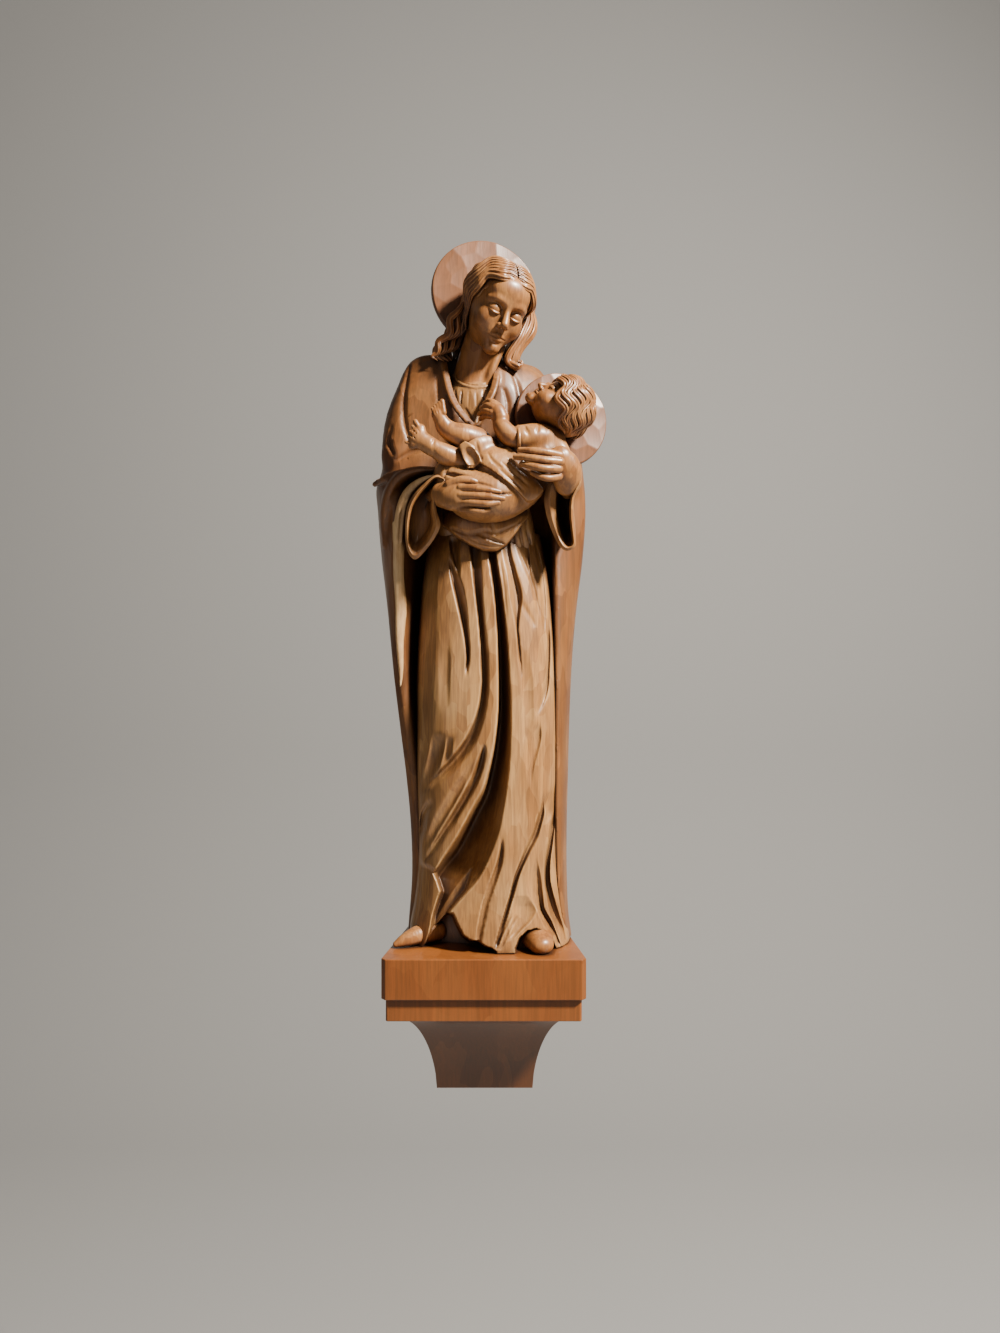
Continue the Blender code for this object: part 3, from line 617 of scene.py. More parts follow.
class Block:
    """A block to be carved: a grid of distances in millimetres, less than zero inside the wood."""

    def __init__(self, low, high, grain):
        self.grain = grain
        self.low = np.array(low, dtype=float)
        self.axes = [np.arange(a, b + grain, grain, dtype=np.float32) for a, b in zip(low, high)]
        self.field = np.full([len(axis) for axis in self.axes], 8.0, dtype=np.float32)

    def near(self, low, high, room):
        spans = []
        for axis, a, b in zip(self.axes, low, high):
            first = int(np.clip(np.searchsorted(axis, a - room), 0, len(axis) - 1))
            last = int(np.clip(np.searchsorted(axis, b + room), first + 1, len(axis)))
            spans.append(slice(first, last))
        x, y, z = (axis[span] for axis, span in zip(self.axes, spans))
        return tuple(spans), (x[:, None, None], y[None, :, None], z[None, None, :])

    def add(self, shape, soft=2.0):
        distance, low, high = shape
        spans, places = self.near(low, high, soft + 5)
        self.field[spans] = blend_low(self.field[spans], distance(*places), soft)

    def cut(self, shape, soft):
        distance, low, high = shape
        spans, places = self.near(low, high, soft + 5)
        self.field[spans] = -blend_low(-self.field[spans], distance(*places), soft)

    def add_skin(self, mesh):
        """Adds a closed mesh, in metres, and takes it away from the file."""
        points = np.empty(len(mesh.vertices) * 3, dtype=np.float32)
        mesh.vertices.foreach_get("co", points)
        mesh.calc_loop_triangles()
        triangles = np.empty(len(mesh.loop_triangles) * 3, dtype=np.int32)
        mesh.loop_triangles.foreach_get("vertices", triangles)
        bpy.data.meshes.remove(mesh)
        scale = openvdb.createLinearTransform(voxelSize=self.grain)
        solid = openvdb.FloatGrid.createLevelSetFromPolygons(
            (points.reshape(-1, 3) * 1000 - self.low).astype(np.float32), triangles=triangles.reshape(-1, 3),
            transform=scale, halfWidth=5.0)
        dense = np.empty(self.field.shape, dtype=np.float32)
        solid.copyToArray(dense)
        self.field = blend_low(self.field, dense, 2.0)

    def met(self, across, up, sink):
        """Where the line of sight through a point of the board first meets the wood, or sink deeper."""
        depths = np.arange(150.0, 0.0, -0.25)
        spots = np.array([behind(across, up, depth) for depth in depths])
        cells = np.rint((spots - self.low) / self.grain).astype(int)
        last = np.array(self.field.shape) - 1
        held = np.all((cells >= 0) & (cells <= last), axis=1)
        wood = held & (self.field[tuple(np.clip(cells, 0, last).T)] < 0)
        depth = depths[np.argmax(wood)] if wood.any() else BOARD
        return behind(across, up, depth - sink)

    def crease(self, drawn, radius, sink, soft):
        """A gouge cut in the front, along a line drawn on the board."""
        self.cut(roll([self.met(a, u, sink) for a, u in drawn], tapered(radius, len(drawn), 0.35), 6), soft)

    def ridge(self, drawn, radius, sink, soft):
        """A raised line on the front, drawn on the board."""
        self.add(roll([self.met(a, u, sink) for a, u in drawn], tapered(radius, len(drawn), 0.35), 6), soft)

    def mesh(self, name, merge, pose=None):
        """The surface. merge joins faces where it is flat, from 0, nowhere, to 1."""
        grid = openvdb.FloatGrid(8.0)
        grid.copyFromArray(self.field)
        points, triangles, quads = grid.convertToPolygons(isovalue=0.0, adaptivity=merge)
        points = points * self.grain + self.low
        if pose is not None:
            points = pose(points)
        return skin_mesh(name, points, *(faces for faces in (triangles, quads) if len(faces)))

    def piece(self, name, merge, stain, node, pose=None):
        """The finished block as a piece of the figure, over one of its solids."""
        link_piece(name, self.mesh(name, merge, pose), stain, "figure", [node])


def tapered(radius, count, share):
    """The radii of a cut that is thinner at both ends."""
    return [radius * share] + [radius] * (count - 2) + [radius * share]


def blend_low(first, second, soft):
    share = np.clip(0.5 + 0.5 * (second - first) / soft, 0, 1)
    return (second * (1 - share) + first * share - soft * share * (1 - share)).astype(np.float32)


def turning(across, level, swing):
    """A turn by degrees: about X, then about Y, then about Z."""
    a, b, c = (math.radians(angle) for angle in (across, level, swing))
    about_x = np.array([[1, 0, 0], [0, math.cos(a), -math.sin(a)], [0, math.sin(a), math.cos(a)]])
    about_y = np.array([[math.cos(b), 0, math.sin(b)], [0, 1, 0], [-math.sin(b), 0, math.cos(b)]])
    about_z = np.array([[math.cos(c), -math.sin(c), 0], [math.sin(c), math.cos(c), 0], [0, 0, 1]])
    return about_z @ about_y @ about_x


def lump(centre, half_sizes, turn=None):
    """An ellipsoid."""
    turn = np.eye(3) if turn is None else turn
    centre, half = np.array(centre, dtype=float), np.array(half_sizes, dtype=float)
    reach = float(half.max())

    def distance(x, y, z):
        place = [x - centre[0], y - centre[1], z - centre[2]]
        local = [sum(turn[j, i] * place[j] for j in range(3)) for i in range(3)]
        near = np.sqrt(sum((part / size) ** 2 for part, size in zip(local, half)) + 1e-6)
        steep = np.sqrt(sum((part / size ** 2) ** 2 for part, size in zip(local, half)) + 1e-9)
        return near * (near - 1) / steep

    return distance, centre - reach, centre + reach


def roll(line, radii, pieces=4, flat=None):
    """A round bar along a line, its radius changing on the way. flat is (direction, its share that way)."""
    stations = np.column_stack([np.asarray(line, dtype=float), np.asarray(radii, dtype=float)])
    path = smooth_line(stations, pieces)
    reach = path[:, 3].max() * (1.0 if flat is None else max(1.0, 1.0 / flat[1]))
    squeeze = np.eye(3)
    if flat is not None:
        way = np.array(flat[0], dtype=float) / np.linalg.norm(flat[0])
        squeeze += (1 / flat[1] - 1) * np.outer(way, way)
    bars = path[:, :3] @ squeeze.T
    shrink = 1.0 if flat is None else min(1.0, flat[1])

    def distance(x, y, z):
        local = [squeeze[i, 0] * x + squeeze[i, 1] * y + squeeze[i, 2] * z for i in range(3)]
        best = None
        for start, end, r0, r1 in zip(bars, bars[1:], path[:, 3], path[1:, 3]):
            step = end - start
            size = float(step @ step) + 1e-9
            away = [part - s for part, s in zip(local, start)]
            t = np.clip(sum(part * s for part, s in zip(away, step)) / size, 0, 1)
            gap = np.sqrt(sum((part - t * s) ** 2 for part, s in zip(away, step)) + 1e-9) - (r0 + (r1 - r0) * t)
            best = gap if best is None else np.minimum(best, gap)
        return best * shrink

    return distance, path[:, :3].min(axis=0) - reach, path[:, :3].max(axis=0) + reach


def bar(drawn, radii, pieces=4, flat=None):
    """A roll through points drawn as across, up and depth."""
    return roll([behind(*point) for point in drawn], radii, pieces, flat)


def cut_off(point, way):
    """Everything on the far side of a plane through a point, in the direction way."""
    way = np.array(way, dtype=float) / np.linalg.norm(way)

    def distance(x, y, z):
        return -((x - point[0]) * way[0] + (y - point[1]) * way[1] + (z - point[2]) * way[2])

    return distance, (-400, -400, -400), (400, 400, 900)


def closed_line(points, count):
    """So many evenly spaced points on a smooth closed curve through points."""
    points = np.asarray(points, dtype=float)
    ring = np.vstack([points[-1:], points, points[:2]])
    pieces = 12
    t = (np.arange(pieces) / pieces)[:, None]
    out = [curve_place(*four, t) for four in zip(ring, ring[1:], ring[2:], ring[3:])]
    dense = np.vstack(out + [points[:1]])
    reach = np.concatenate([[0], np.cumsum(np.linalg.norm(np.diff(dense, axis=0), axis=1))])
    even = np.linspace(0, reach[-1], count, endpoint=False)
    return np.column_stack([np.interp(even, reach, dense[:, i]) for i in range(dense.shape[1])])


MANTLE_FALL = [  # height, left side, left rim and its depth, right rim and its depth, right side
    (77.7, -65.5, -61, 60, 64, 72, 74), (95, -63.5, -60, 62, 64, 74, 71.5), (130, -60.5, -58, 63, 61, 74, 70),
    (170, -61, -59, 64, 60, 74, 70), (210, -64.5, -62, 66, 60, 74, 71), (250, -69, -66.5, 70, 60, 74, 72),
    (290, -73.5, -71, 74, 60, 74, 73.5), (330, -79, -73.5, 79, 60, 74, 76), (360, -83.5, -74, 83, 60, 73, 79),
    (400, -89, -75, 87, 60, 70, 84), (440, -92.5, -75, 89, 60, 68, 86.5), (459, -93.5, -73, 88, 60, 67, 86),
    (470, -90, -72, 88, 60, 66, 85.5)]
MANTLE_CHEST = [  # height, left side, right side, depth at the arms, depth at the breast
    (440, -92.5, 86.5, 76, 80), (459, -93.5, 86, 78, 80), (470, -89.5, 85, 77, 80), (490, -86, 82, 75, 80),
    (504, -83.5, 78, 74, 79.5), (525, -77.5, 68, 71, 78), (545, -70, 58, 67, 75), (558, -65, 51, 61, 69),
    (566, -55, 42, 54, 62), (571, -38, 26, 48, 54)]


def mantle_ring(height, count):
    side_l, rim_l, deep_l, rim_r, deep_r, side_r = through(MANTLE_FALL, height)
    fall = [(0, 2.5), (side_l * 0.62, 2.5), (side_l * 0.93, 12), (side_l, 38),
            (side_l * 0.5 + rim_l * 0.5 - 2.6, min(66, deep_l - 9)), (rim_l - 1.2, deep_l - 3.5),
            (rim_l + 1.8, deep_l), (rim_l + 7.5, deep_l - 2.0), (rim_l + 11.5, deep_l - 14),
            (rim_l + 22, deep_l - 42), (-20, 34), (25, 34), (rim_r - 8, 44), (rim_r - 3, deep_r - 4),
            (rim_r + 1.5, deep_r), (rim_r * 0.4 + side_r * 0.6 + 1, deep_r - 12), (side_r, 42),
            (side_r * 0.93, 13), (side_r * 0.62, 2.5)]
    side_l, side_r, deep_arm, deep_breast = through(MANTLE_CHEST, height)
    chest = [(0, 2.5), (side_l * 0.62, 2.5), (side_l * 0.93, 12), (side_l, 38), (side_l * 0.97, 56),
             (side_l * 0.86, deep_arm - 4), (side_l * 0.72, deep_arm), (side_l * 0.58, deep_arm + 2),
             (side_l * 0.40, deep_breast - 2), (side_l * 0.2, deep_breast), (0, deep_breast),
             (side_r * 0.2, deep_breast), (side_r * 0.36, deep_breast - 2), (side_r * 0.55, deep_arm),
             (side_r * 0.74, deep_arm - 4), (side_r * 0.9, deep_arm - 14), (side_r, 38), (side_r * 0.93, 13),
             (side_r * 0.62, 2.5)]
    share = np.clip((height - 446) / 22, 0, 1)
    share = share * share * (3 - 2 * share)
    outline = closed_line(np.array(fall) * (1 - share) + np.array(chest) * share, count)
    return np.column_stack([outline[:, 0], -outline[:, 1], np.full(count, height)])


def make_mantle():
    heights = np.concatenate([np.linspace(77.7, 440, 100), np.linspace(443, 570, 60)])
    block = Block((-104, -112, 74), (96, 2, 578), 1.25)
    block.add_skin(rings_to_mesh("mantle_trunk", [mantle_ring(height, 150) for height in heights]))
    # the arms under it
    block.add(bar([(-46, 538, 42), (-62, 505, 50), (-70, 478, 60)], [19, 17, 12]), 10)
    # the fold over her right wrist, which runs on into the long fall at her side
    fold = [(-38, 464, 92), (-52, 463.5, 88), (-64, 459.5, 84), (-73, 449, 78), (-78, 430, 72), (-79, 405, 68)]
    block.add(bar(fold, [3.2, 4.4, 5.5, 6.5, 6, 3], 5, ((0, 1, 0), 2.6)), 3)
    block.add(bar([(-66, 461, 86), (-78, 459, 78), (-88.0, 453.6, 62)], [4.8, 4.2, 2.2], 5), 2)
    # the crease between that fold and the arm
    crease = [(-32, 470, 92), (-48, 471.5, 92), (-62, 470.5, 88), (-76, 465.5, 80), (-86, 459, 72),
              (-94, 450, 62)]
    block.cut(bar(crease, [1.0, 2.6, 3.2, 3.2, 2.6, 1.2], 5), 1.5)
    # the neck, open in a V, with a rolled edge
    edge = [behind(*point) for point in
            ((-37, 566, 40), (-34, 552, 62), (-28.5, 527, 78), (-20, 511, 85), (-7, 500, 88), (3, 518, 86),
             (9, 531, 82), (12, 549, 66), (13, 564, 42))]
    neck = inside_prism([behind(a, u, BOARD) for a, u in
                         [(-38, 580), (-33.5, 552), (-28, 527), (-19, 511), (-7, 501), (3, 518), (8.5, 531),
                          (11, 549), (12, 580)]], -130, -50)
    block.cut(neck, 0.8)
    block.add(roll(edge, [1.2, 2.0, 2.1, 2.1, 1.6, 1.9, 1.9, 1.9, 1.2], 6), 0.8)
    inner = [(x + 2.4 * (-1 if i > 4 else 1), y + 1.0, z + 1.2) for i, (x, y, z) in enumerate(edge)]
    block.add(roll(inner, [1.0, 1.7, 1.7, 1.6, 1.2, 1.4, 1.5, 1.5, 1.0], 6), 0.6)
    # folds drawn down the outside of the upper arm
    for line, radius in (
            ([(-60, 548), (-64.5, 525), (-64.5, 505), (-60, 488)], 2.2),
            ([(-75, 500), (-77, 489), (-73, 478)], 1.4),
            ([(-34, 478), (-46, 482), (-58, 480), (-70, 473)], 2.2),
            ([(-38, 540), (-37, 526), (-33, 512)], 1.4),
            ([(22, 545), (27, 535), (29, 522), (26, 508)], 1.8), ([(16, 530), (19, 518), (18, 505)], 1.4)):
        block.crease(line, radius, 0.2, 2.5)
    block.piece("mantle_cloak", 0.01, MANTLE_WOOD, "mantle")


# Partly painted light: a lining stain paler than the rest, so the turned-over band stays bright where it lies
# in shade beside the sleeve.
PALE_LINING_LIT_WOOD = carved_wood("pale_lining_stain_painted_light", (0.80, 0.60, 0.38), (0.62, 0.40, 0.20), (0.060, 0.022, 0.008))


def make_mantle_edge():
    """The front edge of the long fall, turned over so that its lining shows up to the wrist, painted paler so
    that it stays bright in shade.
    """
    around = np.linspace(0, 2 * math.pi, 28, endpoint=False)
    rings = []
    for height in np.linspace(290, 424, 70):
        rim_l, deep_l = through(MANTLE_FALL, height)[1:3]
        ripple = 0.5 * math.sin(height * 0.11) + 0.3 * math.sin(height * 0.047)
        half = 0.3 + (4.2 + 0.4 * ripple) * min(1, (height - 290) / 60) ** 0.6
        across = rim_l + 0.7 + ripple * 0.5 + half * (1 + np.cos(around))
        depth = deep_l - 2.0 + 2.9 * np.sin(around) - 0.28 * (across - rim_l - 5)
        rings.append(np.column_stack([across, -depth, np.full(28, height)]))
    block = Block((-86, -118, 286), (-28, -52, 472), 0.8)
    block.add_skin(rings_to_mesh("edge_trunk", rings))
    turn = [(-36, 461.0, 107), (-46, 458.8, 104), (-55, 453.6, 99), (-62, 446, 95), (-66, 436, 92),
            (-68.0, 424, 89.5), (-68.8, 410, 88)]
    block.add(bar(turn, [0.9, 2.0, 3.2, 4.0, 4.4, 4.5, 3.6], 6, ((0.15, 1, 0), 0.55)), 2)
    block.crease([(-63, 442), (-66.5, 430), (-68, 414), (-68.5, 396)], 1.0, -0.3, 1.4)
    block.piece("mantle_edge", 0.004, PALE_LINING_LIT_WOOD, "mantle")


def inside_prism(corners, front, back):
    """A prism cut straight back through an outline drawn in front."""
    flat = np.array([(x, z) for x, y, z in corners])
    low = (flat[:, 0].min(), front, flat[:, 1].min())
    high = (flat[:, 0].max(), back, flat[:, 1].max())

    def distance(x, y, z):
        across, up = np.broadcast_arrays(x[:, 0, :], z[:, 0, :])
        return np.maximum(outline_gap(across, up, flat)[:, None, :], np.maximum(y - back, front - y))

    return distance, low, high


make_mantle()
make_mantle_edge()


# ------------------------------------------------------------------ sleeves
# Wide trumpet sleeves, open to the front, that hang from the wrists to a point. They are carved from
# blocks glued to the mantle: thin rolled edges, deep dark insides.

def sleeve_mesh(name, back, outer, rim, inner, floor):
    """A cup from a ring inside the cloak to its rim and back in. Each loop is (points, depth)."""
    count, loops = 110, []
    for points, depth in (back, outer, rim, inner, floor):
        drawn = closed_line([point[:2] for point in points], count)
        deep = closed_line([(point[2] if len(point) > 2 else depth, 0) for point in points], count)[:, 0]
        loops.append(np.array([behind(a, u, d) for (a, u), d in zip(drawn, deep)]))
    rings = []
    for first, last, steps in zip(loops, loops[1:], (14, 6, 5, 12)):
        for share in np.arange(steps) / steps:
            rings.append(first * (1 - share) + last * share)
    rings.append(loops[-1])
    return rings_to_mesh(name, rings)


def shrink(points, centre, share):
    return [(centre[0] + (p[0] - centre[0]) * share, centre[1] + (p[1] - centre[1]) * share) for p in points]


def make_sleeve(side, outer, inner, depths, swell, sink, back, floor):
    """A sleeve from both edges of its mouth. back and floor draw it together: centre, share, depth."""
    rim = [(a * 0.5 + c * 0.5, b * 0.5 + d * 0.5, deep + swell)
           for (a, b), (c, d), deep in zip(outer, inner, depths)]
    outer_at = [(a, b, deep - 1) for (a, b), deep in zip(outer, depths)]
    inner_at = [(a, b, deep - sink) for (a, b), deep in zip(inner, depths)]
    mesh = sleeve_mesh(side + "_sleeve_cup", (shrink(outer, *back[:2]), back[2]), (outer_at, 0), (rim, 0),
                       (inner_at, 0), (shrink(inner, *floor[:2]), floor[2]))
    link_piece(side + "_sleeve_cup", mesh, LINING_WOOD, "figure", [side + "_sleeve"])


make_sleeve(
    "right",
    [(-30.2, 456.8), (-36.6, 451.0), (-38.4, 444), (-38.2, 433), (-35.2, 421.6), (-38.6, 412.4), (-45.8, 402.0),
     (-55, 393.2), (-61.4, 399.5), (-63.6, 414.5), (-62.2, 431.5), (-57.6, 443.6), (-48.8, 453.8),
     (-39.6, 461.0), (-33.4, 460.0)],
    [(-33.6, 456.6), (-39.2, 450.2), (-41.6, 443), (-42.4, 433), (-41.2, 421.6), (-44.6, 412.4), (-50.2, 404.6),
     (-55.4, 399.4), (-59.2, 404), (-60.6, 415), (-59.2, 430.5), (-54.8, 441.4), (-47.0, 450.8), (-40.0, 457.6),
     (-36.0, 458.0)],
    [113, 114, 113, 111, 108, 106, 104, 101, 99, 98, 98, 100, 104, 109, 112],
    1.6, 1, ((-64, 444), 0.5, 62), ((-53, 436), 0.8, 91))
make_sleeve(
    "left",
    [(70, 471.5), (77, 463), (78.4, 456), (75.2, 449), (72.2, 441), (71.8, 428.5), (73.2, 414.5), (73.6, 404.4),
     (68, 400.2), (62.2, 402.3), (55.8, 413), (50.2, 428.6), (48.0, 445), (52, 456), (62, 467)],
    [(70.4, 466.6), (74.8, 461.6), (75.8, 456.4), (72.6, 450), (69.4, 442.4), (68.6, 429), (70, 415),
     (70.8, 407.4), (68.4, 404.6), (65.2, 406.5), (61.2, 416), (58, 430), (58.0, 444), (60, 453), (65, 461)],
    [108, 110, 109, 106, 103, 101, 99, 98, 98, 98, 98, 98, 97, 96, 100],
    1.2, 1.5, ((72, 446), 0.5, 56), ((67, 440), 0.6, 74))


# ------------------------------------------------------------------ breast of the gown
# The top of the gown block, seen in the mantle's V: a folded round collar above short gathered pleats.

def make_breast():
    block = Block((-58, -98, 480), (46, -24, 575), 0.8)
    block.add(lump((-8, -44, 508), (42, 33, 46)))
    block.add(lump((-8, -52, 530), (30, 24, 20)), 8)
    block.add(lump((-9, -50, 548), (27, 18, 12)), 6)
    block.add(lump((-8, -46, 541), (25, 26, 12)), 6)
    for rise, inset, radius in ((0, 0, 1.3), (2.6, 1.0, 0.9)):
        block.ridge([(-24 + inset, 540 + rise), (-20.5 + inset, 536 + rise), (-15 + inset * 0.6, 533 + rise),
                     (-7, 531.4 + rise), (1.4 - inset * 0.6, 532.4 + rise), (6 - inset, 535.4 + rise),
                     (8.6 - inset, 539.4 + rise)], radius, 0.1, 0.6)
    for top, foot, low in ((-23, -24, 521), (-17.6, -19.2, 517), (-12, -12.6, 515.5), (-6.4, -6.2, 516),
                           (-0.8, 0.4, 517), (4.2, 6.2, 520)):
        block.crease([(top, 530), ((top + foot) / 2, 525), (foot, low)], 0.85, 0.0, 0.5)
    for line in ([(-15, 514), (-12, 508), (-9, 503)], [(-3, 515), (-4, 510), (-5, 505)],
                 [(2, 522), (1, 515), (-2, 509)]):
        block.crease(line, 1.6, -0.4, 2.0)
    block.piece("gown_breast", 0.004, DRESS_WOOD, "dress")


make_breast()


# ------------------------------------------------------------------ fold at the waist
# The end of the mantle, drawn across the waist and sagging under the Child in two flat folds.

def make_waist_fold():
    block = Block((-46, -116, 392), (50, -66, 444), 0.7)
    block.add(lump((1, -60, 421), (47, 41, 34)))
    hem = [(-34, 422), (-23.2, 412.8), (-11.9, 405.6), (-0.6, 400.6), (9.9, 400.6), (17.7, 405.2),
           (26.2, 415.6), (36, 430), (36, 446), (-34, 446)]
    distance, low, high = inside_prism([behind(a, u, BOARD) for a, u in hem], -130, -66)
    block.field = -blend_low(-block.field, -distance(*block.near(low, high, 60)[1]), 1.6)
    block.crease([(-7, 414), (-1, 412.2), (6, 409.4), (16, 405.8)], 2.0, -0.2, 0.6)
    block.crease([(-12, 410), (-4, 406.4), (6, 404), (13, 403.6)], 1.2, -0.6, 1.6)
    block.crease([(-26, 418), (-12, 413.4), (0, 415.6), (12, 414.4), (26, 421)], 1.6, -0.5, 2.4)
    block.crease([(6, 424), (6.6, 419), (10, 412)], 1.1, -0.5, 1.4)
    block.crease([(20, 411), (25, 418), (32, 427)], 1.6, -0.5, 1.4)
    block.piece("waist_fold", 0.003, LINING_WOOD, "waist_swag")


make_waist_fold()


def make_waist():
    """The gown between the skirt and the Child, which shows at her left side."""
    block = Block((-50, -108, 396), (62, -40, 452), 0.8)
    block.add(bar([(20, 448, 71), (23.5, 430, 73), (26.5, 414, 71), (28, 402, 64)], [13, 14.2, 14.6, 13], 5))
    block.add(bar([(-26, 440, 66), (-25, 424, 68), (-24, 408, 60)], [14, 15, 13], 5), 4)
    for line, radius in (([(37, 440), (39.5, 420), (43, 400)], 1.2), ([(32, 432), (35, 416), (38, 400)], 1.5),
                         ([(27, 424), (29.5, 412), (32, 400)], 1.4),
                         ([(22, 418), (23.5, 408), (25, 400)], 1.1)):
        block.crease(line, radius, -0.3, 1.2)
    block.piece("gown_waist", 0.003, DRESS_WOOD, "dress")


make_waist()


# ------------------------------------------------------------------ Child's body and swaddling cloth
# One block: the trunk in a short shirt, and the cloth wrapped round the hips in crisp turned-over folds.

CLOTH_DEPTH = 112       # millimetres from the wall to the cloth's front


def coat(block, outline, thickness):
    """Raises the surface by a thickness, as a layer of cloth does, inside an outline drawn in front."""
    distance, low, high = inside_prism([behind(a, u, CLOTH_DEPTH) for a, u in outline], -140, -70)
    spans, places = block.near(low, high, 4)
    layer = np.maximum(block.field[spans] - thickness, distance(*places))
    block.field[spans] = blend_low(block.field[spans], layer, 0.4)


def folds(block, lines, soft):
    """Gouge cuts along lines drawn as across, up and depth, each with its radius."""
    for line, radius in lines:
        block.cut(bar(line, tapered(radius, len(line), 0.4), 6), soft)


def make_cloth():
    block = Block((-44, -134, 414), (78, -66, 512), 0.8)
    # hips and the hanging bag of cloth
    block.add(bar([(-24, 456, 98), (-8, 446, 101), (10, 444, 102), (28, 446, 98)], [17, 21.5, 20.5, 14], 6))
    block.add(bar([(-31, 463, 97), (-21, 473, 101), (-9, 482, 104), (0, 485, 102)], [8.5, 11, 11, 8.5], 6), 5)
    block.add(bar([(6, 466, 104), (22, 456, 106), (36, 449, 103)], [14, 12.5, 8.5], 6), 5)
    block.add(bar([(30, 446, 104), (40, 447, 106), (44.5, 449, 105)], [8, 6, 3.2], 5), 3)
    # trunk, shoulder and the short sleeve
    block.add(bar([(12, 467, 98), (28, 469, 98), (46, 478, 98), (55, 488, 94)], [14, 15, 14, 10], 6), 5)
    block.add(bar([(53, 490, 96), (42, 491, 103), (30, 490.5, 106)], [11, 11.4, 10.6], 6), 3)
    block.add(bar([(58, 488, 96), (63, 479, 98), (67, 470, 96)], [6.5, 6.5, 5], 5), 3)
    # folds of the bag, drawn up towards her left hand
    folds(block, (
        ([(-29, 440, 116), (-14, 431, 121), (8, 430, 123), (30, 437, 119)], 2.0),
        ([(-26, 449, 117), (-8, 437.5, 124), (14, 437, 125), (36, 443.6, 117)], 2.2),
        ([(2, 462, 125), (14, 454, 126), (26, 447.6, 124), (33, 443, 121)], 2.2),
        ([(-30, 462, 112), (-20, 460, 118), (-12, 462, 121)], 2.0)), 2.2)
    # the upper cloth, with its hem running down to the corner at the right
    coat(block, [(-19, 483), (-12, 470), (-3, 469.4), (6, 463.5), (20, 452.6), (30, 444), (34.5, 440),
                 (41, 441), (48, 449), (42, 458), (30, 474), (12, 492), (0, 494)], 2.6)
    folds(block, (
        ([(-1, 471, 129), (0.6, 480, 127), (0.2, 491, 118)], 1.6),
        ([(8, 480, 127), (16, 470, 130), (27, 460, 130), (38, 452, 124)], 2.2),
        ([(14, 482, 124), (24, 472, 127), (34, 463, 126)], 1.8),
        ([(4, 474, 130), (14, 463, 132), (25, 453, 131)], 1.6)), 1.2)
    # a corner of it turned over, hollow inside
    coat(block, [(-20, 484), (-17, 474), (-13, 465.5), (-8, 466), (-2, 470.5), (-4, 477), (-10, 484),
                 (-15, 487)], 2.4)
    block.cut(roll([behind(-16, 480.5, 128), behind(-11.5, 475.5, 131), (-6, -131, 472.5)], [1.4, 3.2, 1.6],
                   5), 0.8)
    block.cut(lump(block.met(-10.5, 475.5, -2.0), (5.6, 3.8, 8.4), turning(0, -28, 0)), 0.8)
    # shirt: its side seam and the creases at the elbow and shoulder
    folds(block, (
        ([(55, 500, 108), (58, 490, 112), (64, 479, 112), (69, 470, 108)], 1.8),
        ([(50, 503, 108), (53, 494, 114), (58, 484, 115)], 1.4),
        ([(33, 500, 113), (36, 493, 118), (34, 485, 119)], 1.6),
        ([(44, 502, 110), (43, 494, 117), (47, 486, 117)], 1.2)), 1.4)
    for line, radius in (
            ([(14, 472), (24, 463), (36, 452)], 1.3), ([(6, 473), (18, 461), (31, 449)], 1.1),
            ([(20, 474), (28, 467), (36, 460)], 1.2), ([(-6, 488), (-5, 481), (-2, 474)], 1.3),
            ([(3, 480), (6, 474), (14, 467)], 1.2), ([(-24, 476), (-30, 466), (-33, 458)], 1.4),
            ([(-25, 462), (-10, 456), (6, 452)], 1.3), ([(-14, 450), (4, 446), (22, 446)], 1.2)):
        block.crease(line, radius, -0.2, 1.2)
    block.piece("swaddling_cloth", 0.002, LINING_WOOD, "child_body")


make_cloth()


# ------------------------------------------------------------------ Child's legs and arm
# Plump bare legs crossed at the shins, toes along one edge of each foot, and one arm that holds her neckline.

def add_toes(block, root_low, root_high, tip_low, tip_high, depth):
    """Five toes side by side, the smallest at the low end, with a cut between each two."""
    for i in range(5):
        share = i / 4
        root = [a + (b - a) * share for a, b in zip(root_low, root_high)]
        tip = [a + (b - a) * share for a, b in zip(tip_low, tip_high)]
        size = 1.35 + 0.75 * share ** 2
        block.add(bar([(*root, depth), (*tip, depth - 0.5)], [size * 1.1, size], 2), 0.35)
        if i:
            gap_root = [r - (h - w) / 8 for r, h, w in zip(root, root_high, root_low)]
            gap_tip = [t - (h - w) / 8 for t, h, w in zip(tip, tip_high, tip_low)]
            block.cut(bar([(*gap_root, depth + 3), (*gap_tip, depth + 2)], [0.35, 0.75], 2), 0.3)


